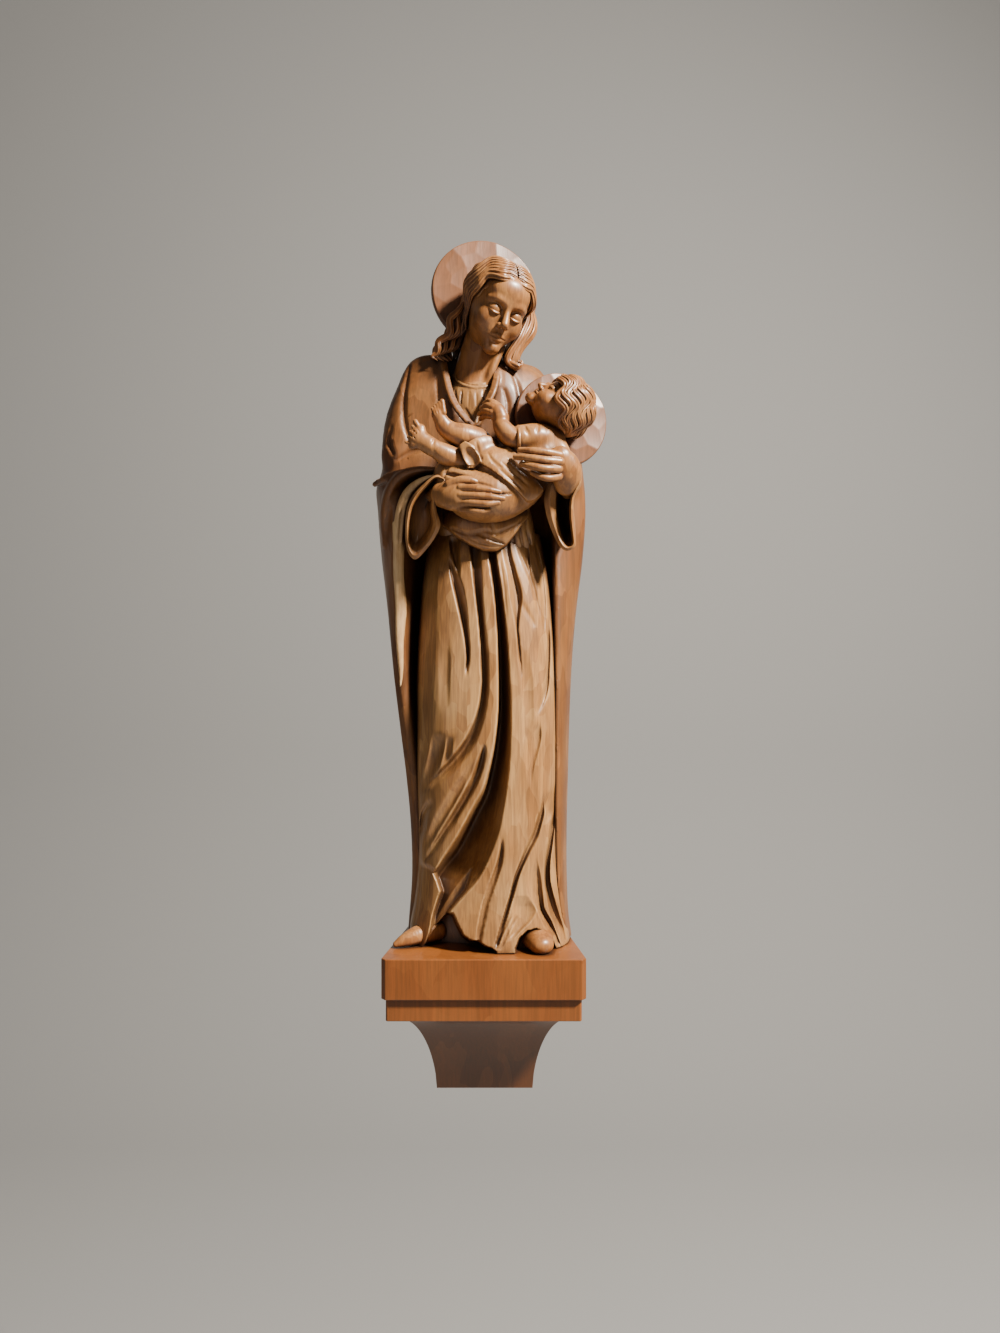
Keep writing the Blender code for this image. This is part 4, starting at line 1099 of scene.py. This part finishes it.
def make_legs():
    block = Block((-74, -134, 458), (-8, -84, 510), 0.6)
    shin = [(-18, 472, 104), (-30, 477, 110), (-38, 481.5, 113), (-43.5, 485, 114)]
    block.add(bar(shin, [9.5, 8.6, 7.0, 6.2], 6))
    block.add(bar([(-44, 484.5, 114), (-50, 489, 115), (-54.5, 492, 115)], [6.4, 7.2, 6.0], 6,
                  ((0, 1, 0), 0.78)), 3)
    block.add(bar([(-57, 485.5, 115), (-54.5, 492, 115.5), (-51.5, 498, 115)], [4.2, 4.8, 4.4], 5,
                  ((0, 1, 0), 0.8)), 2.5)
    add_toes(block, (-56, 485.5), (-51.5, 497.5), (-62.8, 487.6), (-55.4, 504.2), 116.5)
    block.cut(bar([(-40, 490.5, 118), (-41.6, 484, 122), (-40, 478.4, 119)], [0.5, 0.9, 0.5]), 1.6)
    block.piece("lower_leg", 0.002, SKIN_WOOD, "child_lower_leg")

    block = Block((-52, -130, 474), (12, -80, 526), 0.6)
    block.add(bar([(-5, 488, 100), (-15, 491.5, 106), (-25, 495, 109), (-32.5, 500, 110)], [11, 10.4, 8.4, 6.2],
                  6))
    block.add(bar([(-31, 499, 111), (-34.5, 505, 113), (-37.2, 510, 114)], [5.6, 5.6, 5.2], 6,
                  ((0, 1, 0), 0.8)), 3)
    add_toes(block, (-38.6, 507.5), (-32.6, 511.4), (-41.8, 514.6), (-33.8, 520.4), 115.5)
    block.cut(bar([(-36, 494, 116), (-30.5, 497, 120), (-27.5, 504, 117)], [0.5, 0.9, 0.5]), 1.6)
    block.piece("upper_leg", 0.002, SKIN_WOOD, "child_upper_leg")


def make_child_arm():
    block = Block((-12, -126, 474), (38, -86, 528), 0.6)
    block.add(bar([(30, 489.5, 107), (22, 491.5, 108), (15.5, 498, 108), (13, 503.5, 106)],
                  [8.2, 8.4, 7.4, 6.2], 6))
    block.add(bar([(13.4, 507, 106), (11, 512, 105), (7.5, 515.5, 104)], [6.6, 6.6, 5.6], 6), 1.2)
    block.cut(bar([(6, 503, 112), (12.5, 505.6, 116), (20, 508, 112)], [0.4, 0.9, 0.4]), 1.4)
    for start, middle, end, radius in (
            ((9, 518.5, 106), (4.6, 520.4, 104), (0.6, 518.6, 98), 2.7),
            ((7, 515.5, 108), (2.2, 517, 105), (-2, 514.6, 98), 2.6),
            ((6, 511.8, 108), (0.8, 513, 105), (-3.6, 510.4, 98), 2.5),
            ((6.6, 508, 107), (1.6, 508.6, 104), (-3, 506.2, 98), 2.3)):
        block.add(bar([start, middle, end], [radius, radius * 0.95, radius * 0.8]), 0.5)
    block.piece("child_arm_carved", 0.002, SKIN_WOOD, "child_arm")
    cuff = Block((18, -130, 474), (36, -84, 508), 0.6)
    ring = [(27.4 + 0.9 * math.cos(t), 490.5 + 9.6 * math.sin(t), 106 + 11.5 * math.cos(t))
            for t in np.linspace(0, 2 * math.pi, 17)]
    cuff.add(bar(ring, [1.5] * 17, 2))
    cuff.piece("shirt_cuff", 0.0, LINING_WOOD, "child_body")


make_legs()
make_child_arm()


# ------------------------------------------------------------------ her hands
# Long quiet hands, the right one flat under the Child, the left one spread across his back.

def finger(block, points, radii):
    block.add(bar(points, radii, 5), 0.55)


def make_hands():
    block = Block((-66, -134, 420), (24, -70, 466), 0.55)
    block.add(bar([(-41, 445, 90), (-38, 445, 98), (-34, 445, 105)], [6.4, 7.4, 8.6], 6))
    block.add(bar([(-31, 445, 110), (-24, 444.4, 116), (-17, 443, 120.5)], [10.6, 12.0, 10.4], 6,
                  ((0, 1, 0), 0.5)), 4)
    finger(block, [(-19, 450.6, 122), (-8, 450.4, 126), (3, 449.2, 127), (12.5, 447.6, 125)],
           [3.3, 3.0, 2.7, 2.1])
    finger(block, [(-19, 444.8, 123), (-7, 444.4, 127), (5, 443.6, 128), (15.5, 442.2, 126)],
           [3.3, 3.0, 2.7, 2.1])
    finger(block, [(-19, 439.2, 122), (-8, 438.6, 127), (2, 438.0, 128), (11.5, 438.8, 126)],
           [3.2, 2.9, 2.7, 2.1])
    finger(block, [(-19, 433.8, 120), (-10, 432.6, 125), (-3, 432.0, 126), (4, 433.2, 124)],
           [3.0, 2.7, 2.5, 1.9])
    finger(block, [(-28, 453, 117), (-19, 456.6, 119.5), (-11, 456.6, 120), (-4.6, 454.6, 119)],
           [4.2, 3.8, 3.3, 2.5])
    for z in (447.6, 442.0, 436.4):
        block.cut(bar([(-21, z, 127), (-10, z - 0.3, 130), (4, z - 0.9, 131)], [0.5, 1.0, 0.6]), 0.9)
    block.piece("right_hand_carved", 0.002, SKIN_WOOD, "right_hand")

    block = Block((18, -136, 440), (84, -66, 494), 0.55)
    block.add(bar([(68, 448, 90), (68, 454, 97), (67, 460, 104)], [6.4, 8.0, 9.6], 6))
    block.add(bar([(67, 455, 104), (65.5, 466, 111), (61, 475, 116)], [10.8, 12.4, 9.6], 6,
                  ((0, 1, 0), 0.62)), 4)
    finger(block, [(61, 477, 120), (50, 479.5, 125), (39, 480.6, 126), (28.5, 481.4, 122)],
           [3.4, 3.1, 2.8, 2.1])
    finger(block, [(61, 471.6, 122), (48, 473.4, 127), (36, 475, 127), (25, 475.6, 122)], [3.4, 3.1, 2.8, 2.1])
    finger(block, [(60, 466, 121), (50, 466.4, 127), (40, 468, 128), (30, 470, 124)], [3.3, 3.0, 2.7, 2.1])
    finger(block, [(60, 459.6, 118), (52, 458.6, 124), (45, 460, 125), (38.4, 463, 123)], [3.1, 2.8, 2.5, 2.0])
    for points in ([(58, 474.4, 128), (46, 476.6, 131), (36, 477.9, 131)],
                   [(57, 468.9, 128), (46, 470, 132), (36, 471.8, 131)],
                   [(57, 462.8, 127), (49, 462.6, 131), (42, 464.4, 130)]):
        block.cut(bar(points, [0.5, 1.0, 0.6]), 0.9)
    block.piece("left_hand_carved", 0.002, SKIN_WOOD, "left_hand")


make_hands()


# ------------------------------------------------------------------ shoes
# Only the toes show, plain pointed shoes that look out from under the hem.

def make_shoes():
    block = Block((-82, -100, 76), (-30, -50, 100), 0.7)
    block.add(roll([(-40, -66, 86), (-53, -75, 86), (-64, -81, 83.4), (-72, -85, 80.6)], [8, 7.8, 5.6, 2.6], 6))
    block.cut(roll([(-76, -92, 81.6), (-62, -90, 80.6), (-48, -84, 80.6)], [0.5, 0.7, 0.7], 5), 0.5)
    block.cut(cut_off((0, 0, 77.8), (0, 0, -1)), 0.4)
    block.piece("right_shoe_toe", 0.003, SKIN_WOOD, "right_shoe")
    block = Block((20, -114, 76), (70, -50, 104), 0.7)
    block.add(roll([(40, -70, 86), (43, -84, 86), (46, -97, 84)], [13, 13, 10], 6, ((0, 0, 1), 0.82)))
    block.cut(roll([(34, -100, 81), (46, -108, 80.4), (58, -100, 81)], [0.6, 0.8, 0.6], 5), 0.5)
    block.cut(cut_off((0, 0, 77.8), (0, 0, -1)), 0.4)
    block.piece("left_shoe_toe", 0.003, SKIN_WOOD, "left_shoe")


make_shoes()


# ------------------------------------------------------------------ Mary's head and neck
# The face looks down at the Child. It is carved with the neck from the gown's block, in its own upright frame
# with the face towards -Y, then turned into place.

def head_to_frame(centre, turn, size=1.0):
    def pose(points):
        return np.asarray(points) * size @ turn.T + np.array(centre)
    return pose


def carve_face(block):
    """An adult's quiet, oval face with lowered eyelids, in the head's own frame."""
    block.add(lump((0, 3, 10), (25, 31, 27)))
    block.add(lump((0, -5, -8), (21.5, 21.5, 28)), 7)
    block.add(lump((0, -22.5, -29.5), (8, 6.5, 7)), 6)
    for side in (-1, 1):
        block.add(lump((side * 12.5, -18.5, -9), (8.5, 8, 9.5)), 7)
    block.add(lump((0, -20, 16), (17, 9, 12)), 8)
    block.add(roll([(-17, -21, 7), (-10, -26.2, 8.2), (0, -26.6, 6.6), (10, -26.2, 8.2), (17, -21, 7)],
                   [1.6, 2.6, 2.4, 2.6, 1.6], 5), 4)
    for side in (-1, 1):
        block.cut(lump((side * 10.2, -30.0, 1.6), (7.0, 4.8, 4.0)), 3.6)
    block.add(roll([(0, -26.6, 6), (0, -30.2, -2), (0, -34.0, -9.0)], [2.3, 2.7, 3.3], 5), 2.6)
    for side in (-1, 1):
        block.add(lump((side * 3.3, -30.2, -10.6), (2.3, 3.0, 2.4)), 1.4)
        block.cut(lump((side * 1.8, -32.6, -12.9), (1.0, 1.5, 0.8)), 0.6)
        block.add(lump((side * 10.0, -22.9, 0.4), (6.1, 5.4, 4.9)), 0.8)
        lid = [(side * 15.8, -24.3, -0.6), (side * 12.8, -27.2, 1.6), (side * 10.0, -28.0, 2.3),
               (side * 6.8, -27.2, 1.5), (side * 4.4, -25.2, -0.4)]
        block.cut(roll([(x, y - 0.6, z + 2.0) for x, y, z in lid], [0.3, 0.8, 0.9, 0.8, 0.3], 5), 0.7)
        slit = [(side * 15.6, -24.6, -1.4), (side * 12.6, -27.4, -2.3), (side * 10.0, -28.0, -2.7),
                (side * 7.0, -27.4, -2.3), (side * 4.6, -25.4, -1.2)]
        block.add(roll(slit, [0.5, 0.9, 1.0, 0.9, 0.5], 5), 0.5)
        block.cut(roll([(x, y - 0.7, z - 0.95) for x, y, z in slit], [0.2, 0.5, 0.6, 0.5, 0.2], 5), 0.4)
    block.add(lump((0, -18, -19), (12.5, 9.4, 10)), 5)
    block.add(roll([(-8.0, -24.6, -20.2), (-4.0, -27.2, -19.2), (-1.4, -28.4, -18.6), (0, -28.3, -19.0),
                    (1.4, -28.4, -18.6), (4.0, -27.2, -19.2), (8.0, -24.6, -20.2)],
                   [0.5, 1.1, 1.3, 1.2, 1.3, 1.1, 0.5], 4), 1.6)
    block.add(roll([(-6.4, -25.0, -21.4), (-3.0, -27.4, -22.2), (0, -28.0, -22.5), (3.0, -27.4, -22.2),
                    (6.4, -25.0, -21.4)], [0.6, 1.3, 1.5, 1.3, 0.6], 4), 1.6)
    block.cut(roll([(-8.4, -25.4, -20.5), (-3.6, -28.8, -20.6), (0, -29.8, -20.8), (3.6, -28.8, -20.6),
                    (8.4, -25.4, -20.5)], [0.3, 0.5, 0.6, 0.5, 0.3], 5), 0.6)
    block.cut(roll([(-3.6, -28.4, -25.6), (0, -29.4, -26.2), (3.6, -28.4, -25.6)], [0.4, 1.0, 0.4], 5), 2.2)
    block.cut(roll([(0, -29.9, -14.6), (0, -29.6, -17.2)], [0.4, 0.7], 3), 1.0)


HEAD_CENTRE = (9.5, -74.0, 602.0)
HEAD_TURN = turning(0, 15, 0) @ turning(0, 0, 27) @ turning(20, 0, 0)
to_head = head_to_frame(HEAD_CENTRE, HEAD_TURN, 0.94)


def make_head():
    block = Block((-30, -40, -44), (30, 38, 40), 0.55)
    carve_face(block)
    block.piece("face_carved", 0.001, SKIN_WOOD, "head", to_head)
    neck = Block((-32, -96, 528), (34, -22, 596), 0.8)
    neck.add(roll([(-9, -52, 532), (-9, -55, 548), (-4, -60, 570), (2, -62, 590)], [23, 18.5, 16.5, 16], 6))
    neck.add(roll([(-16, -68, 540), (-8, -72, 552), (0, -73, 572)], [2.6, 3.2, 3.6], 5), 5)
    neck.add(roll([(2, -70, 540), (6, -72, 552), (14, -70, 572)], [2.4, 3.0, 3.4], 5), 5)
    neck.cut(lump((-6, -80, 541), (5, 5, 5)), 4)
    neck.piece("neck_carved", 0.004, SKIN_WOOD, "head")


make_head()


# ------------------------------------------------------------------ hair
# Each lock is one carved strand along a curve, cut with fine grooves, and lies over the scalp. Mary's hair is
# parted in the middle and falls behind her shoulders. The Child's is short and wavy.

def lock_tree(name, stain):
    """Geometry nodes: a flattened, ridged strand along every line of the mesh, as wide as half_width says."""
    tree = bpy.data.node_groups.new(name, "GeometryNodeTree")
    face = tree.interface
    face.new_socket("Geometry", in_out="INPUT", socket_type="NodeSocketGeometry")
    for label, value in (("Ridges", 5.0), ("Ridge Depth", 0.2), ("Flatness", 0.6)):
        face.new_socket(label, in_out="INPUT", socket_type="NodeSocketFloat").default_value = value
    face.new_socket("Geometry", in_out="OUTPUT", socket_type="NodeSocketGeometry")

    def add(kind, inputs=None, **settings):
        made = tree.nodes.new(kind)
        for key, value in settings.items():
            setattr(made, key, value)
        for key, value in (inputs or {}).items():
            if isinstance(value, bpy.types.NodeSocket):
                tree.links.new(value, made.inputs[key])
            else:
                made.inputs[key].default_value = value
        return made

    def sums(operation, first, second=0.0):
        return add("ShaderNodeMath", {0: first, 1: second}, operation=operation).outputs[0]

    def stored(label, kind):
        return add("GeometryNodeInputNamedAttribute", {"Name": label}, data_type=kind).outputs["Attribute"]

    entry = add("NodeGroupInput")
    ring = add("GeometryNodeCurvePrimitiveCircle", {"Resolution": 30, "Radius": 1.0})
    turn = add("GeometryNodeSplineParameter").outputs["Factor"]
    wave = sums("ABSOLUTE", sums("SINE", sums("MULTIPLY", sums("MULTIPLY", turn, entry.outputs["Ridges"]),
                                              math.pi)))
    reach = sums("SUBTRACT", 1.0, sums("MULTIPLY", sums("SUBTRACT", 1.0, wave), entry.outputs["Ridge Depth"]))
    squash = add("ShaderNodeCombineXYZ", {0: sums("MULTIPLY", reach, entry.outputs["Flatness"]), 1: reach,
                                          2: 1.0})
    spot = add("GeometryNodeInputPosition").outputs[0]
    shaped = add("ShaderNodeVectorMath", {0: spot, 1: squash.outputs[0]}, operation="MULTIPLY").outputs[0]
    profile = add("GeometryNodeSetPosition", {"Geometry": ring.outputs[0], "Position": shaped}).outputs[0]
    lines = add("GeometryNodeMeshToCurve", {"Mesh": entry.outputs[0]}).outputs[0]
    lines = add("GeometryNodeSetCurveNormal", {"Curve": lines, "Normal": stored("away", "FLOAT_VECTOR")},
                mode="FREE").outputs[0]
    swept = add("GeometryNodeCurveToMesh", {"Curve": lines, "Profile Curve": profile,
                                            "Scale": stored("half_width", "FLOAT"),
                                            "Fill Caps": True}).outputs[0]
    smooth = add("GeometryNodeSetShadeSmooth", {"Geometry": swept}).outputs[0]
    real = add("GeometryNodeRealizeInstances", {"Geometry": smooth}).outputs[0]
    dyed = add("GeometryNodeSetMaterial", {"Geometry": real, "Material": stain}).outputs[0]
    tree.links.new(dyed, add("NodeGroupOutput").inputs[0])
    return tree


def make_locks(name, strands, centre, stain, settings):
    """One mesh from strands, each rows of x, y, z and half width in millimetres, flat towards a centre."""
    lines = bpy.data.meshes.new(name + "_lines")
    points = np.vstack(strands)
    edges, first = [], 0
    for strand in strands:
        edges += [(first + i, first + i + 1) for i in range(len(strand) - 1)]
        first += len(strand)
    lines.from_pydata((points[:, :3] * 0.001).tolist(), edges, [])
    lines.attributes.new("half_width", "FLOAT", "POINT").data.foreach_set("value", points[:, 3] * 0.001)
    away = points[:, :3] - np.array(centre)
    away /= np.linalg.norm(away, axis=1)[:, None]
    lines.attributes.new("away", "FLOAT_VECTOR", "POINT").data.foreach_set("vector", away.ravel())
    carrier = bpy.data.objects.new(name + "_lines", lines)
    bpy.context.scene.collection.objects.link(carrier)
    modifier = carrier.modifiers.new("locks", "NODES")
    modifier.node_group = lock_tree(name + "_tree", stain)
    for item in modifier.node_group.interface.items_tree:
        if item.in_out == "INPUT" and item.name in settings:
            modifier[item.identifier] = settings[item.name]
    evaluated = carrier.evaluated_get(bpy.context.evaluated_depsgraph_get())
    mesh = bpy.data.meshes.new_from_object(evaluated)
    mesh.name = name
    carrier.modifiers.remove(modifier)
    bpy.data.objects.remove(carrier)
    return facing_out(mesh)


def strand_along(points, width, waves, wave, phase, sideways):
    """A strand through points, with an even wave to one side, swelling in the middle and ending thin."""
    path = smooth_line(np.array(points, dtype=float), 8)
    t = np.linspace(0, 1, len(path))
    shift = wave * np.sin(2 * math.pi * (waves * t + phase)) * np.minimum(1, t * 4)
    path = path + shift[:, None] * np.array(sideways)
    swell = width * np.clip(np.minimum(0.45 + t * 2.6, (1.02 - t) * 3.2), 0.08, 1.0)
    return np.column_stack([path, swell])


HAIR_BOARD = 85.0       # the locks are drawn on a board nearer to the wall


def make_mary_hair():
    """Parted in the middle, swept back over the ears, falling behind the shoulders with a lock each side."""
    scalp = Block((-34, -40, -34), (34, 44, 46), 0.8)
    scalp.add(lump((0, 5, 11), (27.2, 32.1, 28.7)))
    scalp.cut(inside_prism([(-19.5, 0, -40), (-22.5, 0, -8), (-21.5, 0, 10), (-14, 0, 20), (0, 0, 26),
                            (14, 0, 20), (21.5, 0, 10), (22.5, 0, -8), (19.5, 0, -40)], -60, -9), 2.0)
    scalp.piece("scalp", 0.01, HAIR_WOOD, "head", to_head)

    strands = []
    for side in (-1, 1):
        for index, part in enumerate(np.linspace(-23.5, 30, 15)):
            theta = np.radians(np.linspace(-1.5, 112 if part < 6 else 100, 9))
            sweep = 17 - 0.45 * max(part, -4)
            back = part + sweep * (1 - np.cos(theta)) * 0.85
            room = np.sqrt(np.clip(1 - ((back - 5) / 33.5) ** 2, 0.02, 1))
            swell = 1.0 + 0.045 * np.sin(theta * 2.0 + index)
            x = side * 28.6 * np.sin(theta) * room * swell + side * 1.6 * np.cos(theta)
            z = 11 + 29.6 * np.cos(theta) * room
            points = [tuple(point) for point in np.column_stack([x, back, z])]
            drop = 26 + 6 * math.sin(index * 1.7)
            points += [(x[-1] * 0.9, back[-1] + 5, z[-1] - 0.36 * drop),
                       (x[-1] * 0.8 + side * 2, min(back[-1] + 5, 30), z[-1] - 0.72 * drop),
                       (x[-1] * 0.76, min(back[-1] + 2, 27), z[-1] - drop)]
            strand = strand_along(points, 3.7, 3.0, 2.4, index * 0.09 + (0.3 if side > 0 else 0),
                                  (0, 0.95, 0.3))
            strand[:, :3] = to_head(strand[:, :3])
            strands.append(strand)
    mesh = make_locks("hair_cap", strands, HEAD_CENTRE, HAIR_WOOD,
                      {"Ridges": 6.0, "Ridge Depth": 0.32, "Flatness": 0.78})
    link_piece("hair_cap", mesh, HAIR_WOOD, "figure", ["head"])

    def at(across, up, depth):
        return behind(across, up, depth, HAIR_BOARD)

    falls = []
    for shift, deep, width, phase in ((0, 74, 3.4, 0.0), (4.5, 71, 3.6, 0.15), (9, 67, 3.8, 0.3),
                                      (13, 62, 4.0, 0.4), (2, 62, 3.8, 0.5), (16, 56, 4.2, 0.6),
                                      (8, 56, 4.2, 0.7), (20, 50, 4.4, 0.8), (25, 47, 4.8, 0.1),
                                      (30, 44, 4.8, 0.3)):
        falls.append(strand_along(
            [at(-15 + shift * 0.5, 606, deep), at(-22 + shift * 0.8, 597, deep + 1), at(-27 + shift, 588, deep),
             at(-30 + shift, 579, deep - 2), at(-35 + shift * 0.9, 572, deep - 3),
             at(-39 + shift * 0.8, 566, deep - 3),
             at(-41.5 + shift * 0.8, 560, deep - 3), at(-38 + shift * 0.8, 556.5, deep - 3)],
            width, 3.0, 1.9, phase, (0.9, 0, -0.4)))
    for shift, deep, width, phase in ((0, 66, 3.2, 0.0), (-4, 70, 3.2, 0.4), (4, 60, 3.6, 0.8),
                                      (-7, 62, 3.2, 0.6)):
        falls.append(strand_along(
            [at(36 + shift * 0.3, 604, deep - 14), at(38 + shift * 0.6, 590, deep - 6),
             at(34.5 + shift, 578, deep), at(28.5 + shift, 569, deep + 2),
             at(24 + shift * 0.8, 561, deep + 3), at(23 + shift * 0.4, 555, deep + 3),
             at(27 + shift * 0.2, 551, deep + 3), at(30, 554, deep + 2), at(28, 557, deep + 2)],
            width, 2.4, 1.2, phase, (0.9, 0, 0.4)))
    mesh = make_locks("falling_locks", falls, (2, -30, 590), HAIR_WOOD,
                      {"Ridges": 5.0, "Ridge Depth": 0.26, "Flatness": 0.7})
    link_piece("falling_locks", mesh, HAIR_WOOD, "figure", ["head"])


HAIR_WOOD = carved_wood("hair_stain", (0.54, 0.30, 0.125), (0.24, 0.096, 0.028), (0.020, 0.007, 0.003),
                        facet=(6.0, 12.0), facet_depth=0.08, shelter=4.0)
make_mary_hair()


# ------------------------------------------------------------------ Child's head and hair
# The Child lies back and looks up at his mother. His head is its own block, doweled to the halo behind it.

CHILD_CENTRE = (62.0, -93.0, 515.0)
crown_way = np.array([0.88, -0.05, 0.46])
crown_way /= np.linalg.norm(crown_way)
face_way = np.array([-0.45, -0.42, 0.80])
face_way -= crown_way * (face_way @ crown_way)
face_way /= np.linalg.norm(face_way)
CHILD_TURN = np.column_stack([np.cross(-face_way, crown_way), -face_way, crown_way])
to_child = head_to_frame(CHILD_CENTRE, CHILD_TURN)


def make_child_head():
    block = Block((-28, -32, -30), (28, 28, 30), 0.5)
    block.add(lump((0, 2, 4), (22.5, 23, 21.5)))
    block.add(lump((0, -6, -8), (17, 15, 14)), 6)
    block.add(lump((0, -19.2, -18.5), (5.4, 4.6, 4.4)), 4)
    for side in (-1, 1):
        block.add(lump((side * 9.6, -14.2, -9.4), (7.4, 7.2, 7.6)), 4)
        block.cut(lump((side * 7.8, -23.4, 0.2), (4.6, 2.4, 2.4)), 2.6)
        block.add(lump((side * 7.8, -18.6, -0.6), (4.4, 3.6, 3.4)), 0.8)
        lid = [(side * 11.8, -19.4, -1.4), (side * 7.8, -22.2, -2.6), (side * 4.2, -20.4, -1.2)]
        block.cut(roll([(x, y - 0.5, z - 0.2) for x, y, z in lid], [0.3, 0.55, 0.3], 5), 0.4)
        block.add(lump((side * 21.6, 1.5, -2.0), (2.2, 4.0, 5.4)), 1.4)
        block.cut(lump((side * 23.6, 0.4, -1.6), (1.4, 2.0, 3.2)), 0.8)
    block.add(roll([(0, -20.6, 0.5), (0, -22.6, -3.6), (0, -24.4, -7.0)], [1.3, 1.6, 2.3], 4), 1.8)
    for side in (-1, 1):
        block.add(lump((side * 2.1, -22.4, -7.8), (1.5, 1.8, 1.5)), 0.9)
    block.add(roll([(-4.6, -19.8, -12.8), (0, -22.0, -12.0), (4.6, -19.8, -12.8)], [0.6, 1.3, 0.6], 4), 0.9)
    block.add(roll([(-3.6, -19.6, -14.4), (0, -21.4, -15.0), (3.6, -19.6, -14.4)], [0.6, 1.3, 0.6], 4), 0.9)
    block.cut(roll([(-4.8, -20.6, -13.4), (0, -22.9, -13.5), (4.8, -20.6, -13.4)], [0.3, 0.5, 0.3], 4), 0.4)
    block.piece("child_face_carved", 0.001, SKIN_WOOD, "child_head", to_child)

    strands = []
    centre = np.array(CHILD_CENTRE) + 2.0 * crown_way
    for index in range(23):
        around = math.radians(-6 + 10.4 * index)
        t = np.linspace(0, 1, 46)
        lat = np.radians(84 - 150 * t + 4 * math.sin(index * 2.1))
        swing = around + (0.135 * np.sin(2 * math.pi * (3.3 * t + 0.09 * index))) * np.minimum(1, 5 * t)
        radius = (24.6 + 0.9 * np.sin(2 * math.pi * (3.3 * t + 0.09 * index + 0.2))
                  + 1.6 * np.clip(t - 0.82, 0, 1) * 6)
        across = np.cos(lat) * np.sin(swing)
        front = -np.cos(lat) * np.cos(swing)
        spot = centre + radius[:, None] * np.column_stack([across, front, np.sin(lat)])
        width = 3.1 * np.clip(np.minimum(0.35 + np.cos(lat), (1.02 - t) * 3.4), 0.08, 1.0)
        strands.append(np.column_stack([spot, width]))
    mesh = make_locks("child_hair", strands, centre, HAIR_WOOD,
                      {"Ridges": 6.0, "Ridge Depth": 0.34, "Flatness": 0.78})
    link_piece("child_hair", mesh, HAIR_WOOD, "figure", ["child_head"])


make_child_head()


# ------------------------------------------------------------------ haloes
# Two thin turned discs, a little domed to the front and left with the gouge's broad flat cuts. Each sits on a
# dowel at the back of its head.

def make_halo(name, centre, axis, radius, thickness, dish, steep, cut_size, seed, node):
    axis = np.array(axis, dtype=float) / np.linalg.norm(axis)
    side = np.cross(axis, (0, 0, 1))
    side /= np.linalg.norm(side)
    upright = np.cross(side, axis)
    chance = np.random.default_rng(seed)
    count = int((radius / cut_size) ** 2 * 3.4)
    turns = np.arange(count) * 2.399963 + chance.uniform(-0.25, 0.25, count)
    reach = radius * 1.02 * np.sqrt((np.arange(count) + chance.uniform(0.1, 0.9, count)) / count)
    spots = np.column_stack([reach * np.cos(turns), reach * np.sin(turns)])
    rings = []
    around = np.linspace(0, 2 * math.pi, 240, endpoint=False)
    edge = [(share * radius, None) for share in np.linspace(0.012, 0.982, 62)]
    edge += [(radius * 0.995, 0.25), (radius, 0.55), (radius, 0.8), (radius * 0.985, 1.0), (radius * 0.5, 1.0),
             (radius * 0.02, 1.0)]
    for distance, back in edge:
        flat = np.column_stack([distance * np.cos(around), distance * np.sin(around)])
        if back is None:
            far = ((flat[:, None, :] - spots[None]) ** 2).sum(axis=2)
            depth = dish * (1 - (distance / radius) ** 2) + steep * far.min(axis=1) / radius ** 2
        else:
            rim = dish * (1 - (min(distance, radius * 0.98) / radius) ** 2)
            depth = rim + np.full(len(around), 0.3 + back * thickness)
        rings.append(np.array(centre) + flat[:, :1] * side + flat[:, 1:] * upright - depth[:, None] * axis)
    link_piece(name, rings_to_mesh(name, rings), HALO_WOOD, "figure", [node])


HALO_WOOD = carved_wood("halo_stain", (0.30, 0.150, 0.072), (0.205, 0.092, 0.040), (0.035, 0.011, 0.005),
                        facet=(30.0, 30.0), facet_depth=0.05, shelter=8.0)

make_halo("halo_disc", (0.0, -40.0, 629.0), (0.22, -1, 0.05), 46.5, 5.0, -3.0, -8.0, 15.0, 3, "halo")
make_halo("child_halo_disc", (64.0, -73.5, 511.5), (0.25, -1, 0.08), 39.5, 5.0, -2.5, -7.0, 14.0, 8,
          "child_halo")


# ------------------------------------------------------------------ fittings
# Beech dowels hold the haloes and locate the plinth. The hangers and all screws are zinc-plated steel.

def zinc_steel():
    metal = Stain("zinc_steel")
    cells = metal.node("ShaderNodeTexVoronoi", {"feature": "F1"}, {"Vector": metal.place(), "Scale": 0.9},
                       "Color")
    brushed = metal.node("ShaderNodeTexNoise", {}, {"Vector": metal.place(scale=(2.0, 2.0, 0.2)),
                                                    "Scale": 1.0,
                                                    "Detail": 3.0}, "Fac")
    metal.feed(metal.shader.inputs["Base Color"], metal.mix(cells * 1.0, (0.50, 0.51, 0.52),
                                                            (0.62, 0.63, 0.64)))
    metal.feed(metal.shader.inputs["Roughness"], 0.30 + brushed * 0.22)
    metal.shader.inputs["Metallic"].default_value = 1.0
    return metal.material


STEEL = zinc_steel()
BEECH = carved_wood("beech_dowel", (0.62, 0.42, 0.25), (0.52, 0.33, 0.18), (0.20, 0.10, 0.05),
                    facet=(40.0, 40.0),
                    facet_depth=0.0, shelter=2.0, shine=0.6, painted_shade_share=0.3)
for words, stain in ((("screw", "hanger"), STEEL), (("pin", "dowel"), BEECH)):
    for label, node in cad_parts.items():
        if any(word in label for word in words):
            node.data.materials.clear()
            node.data.materials.append(stain)
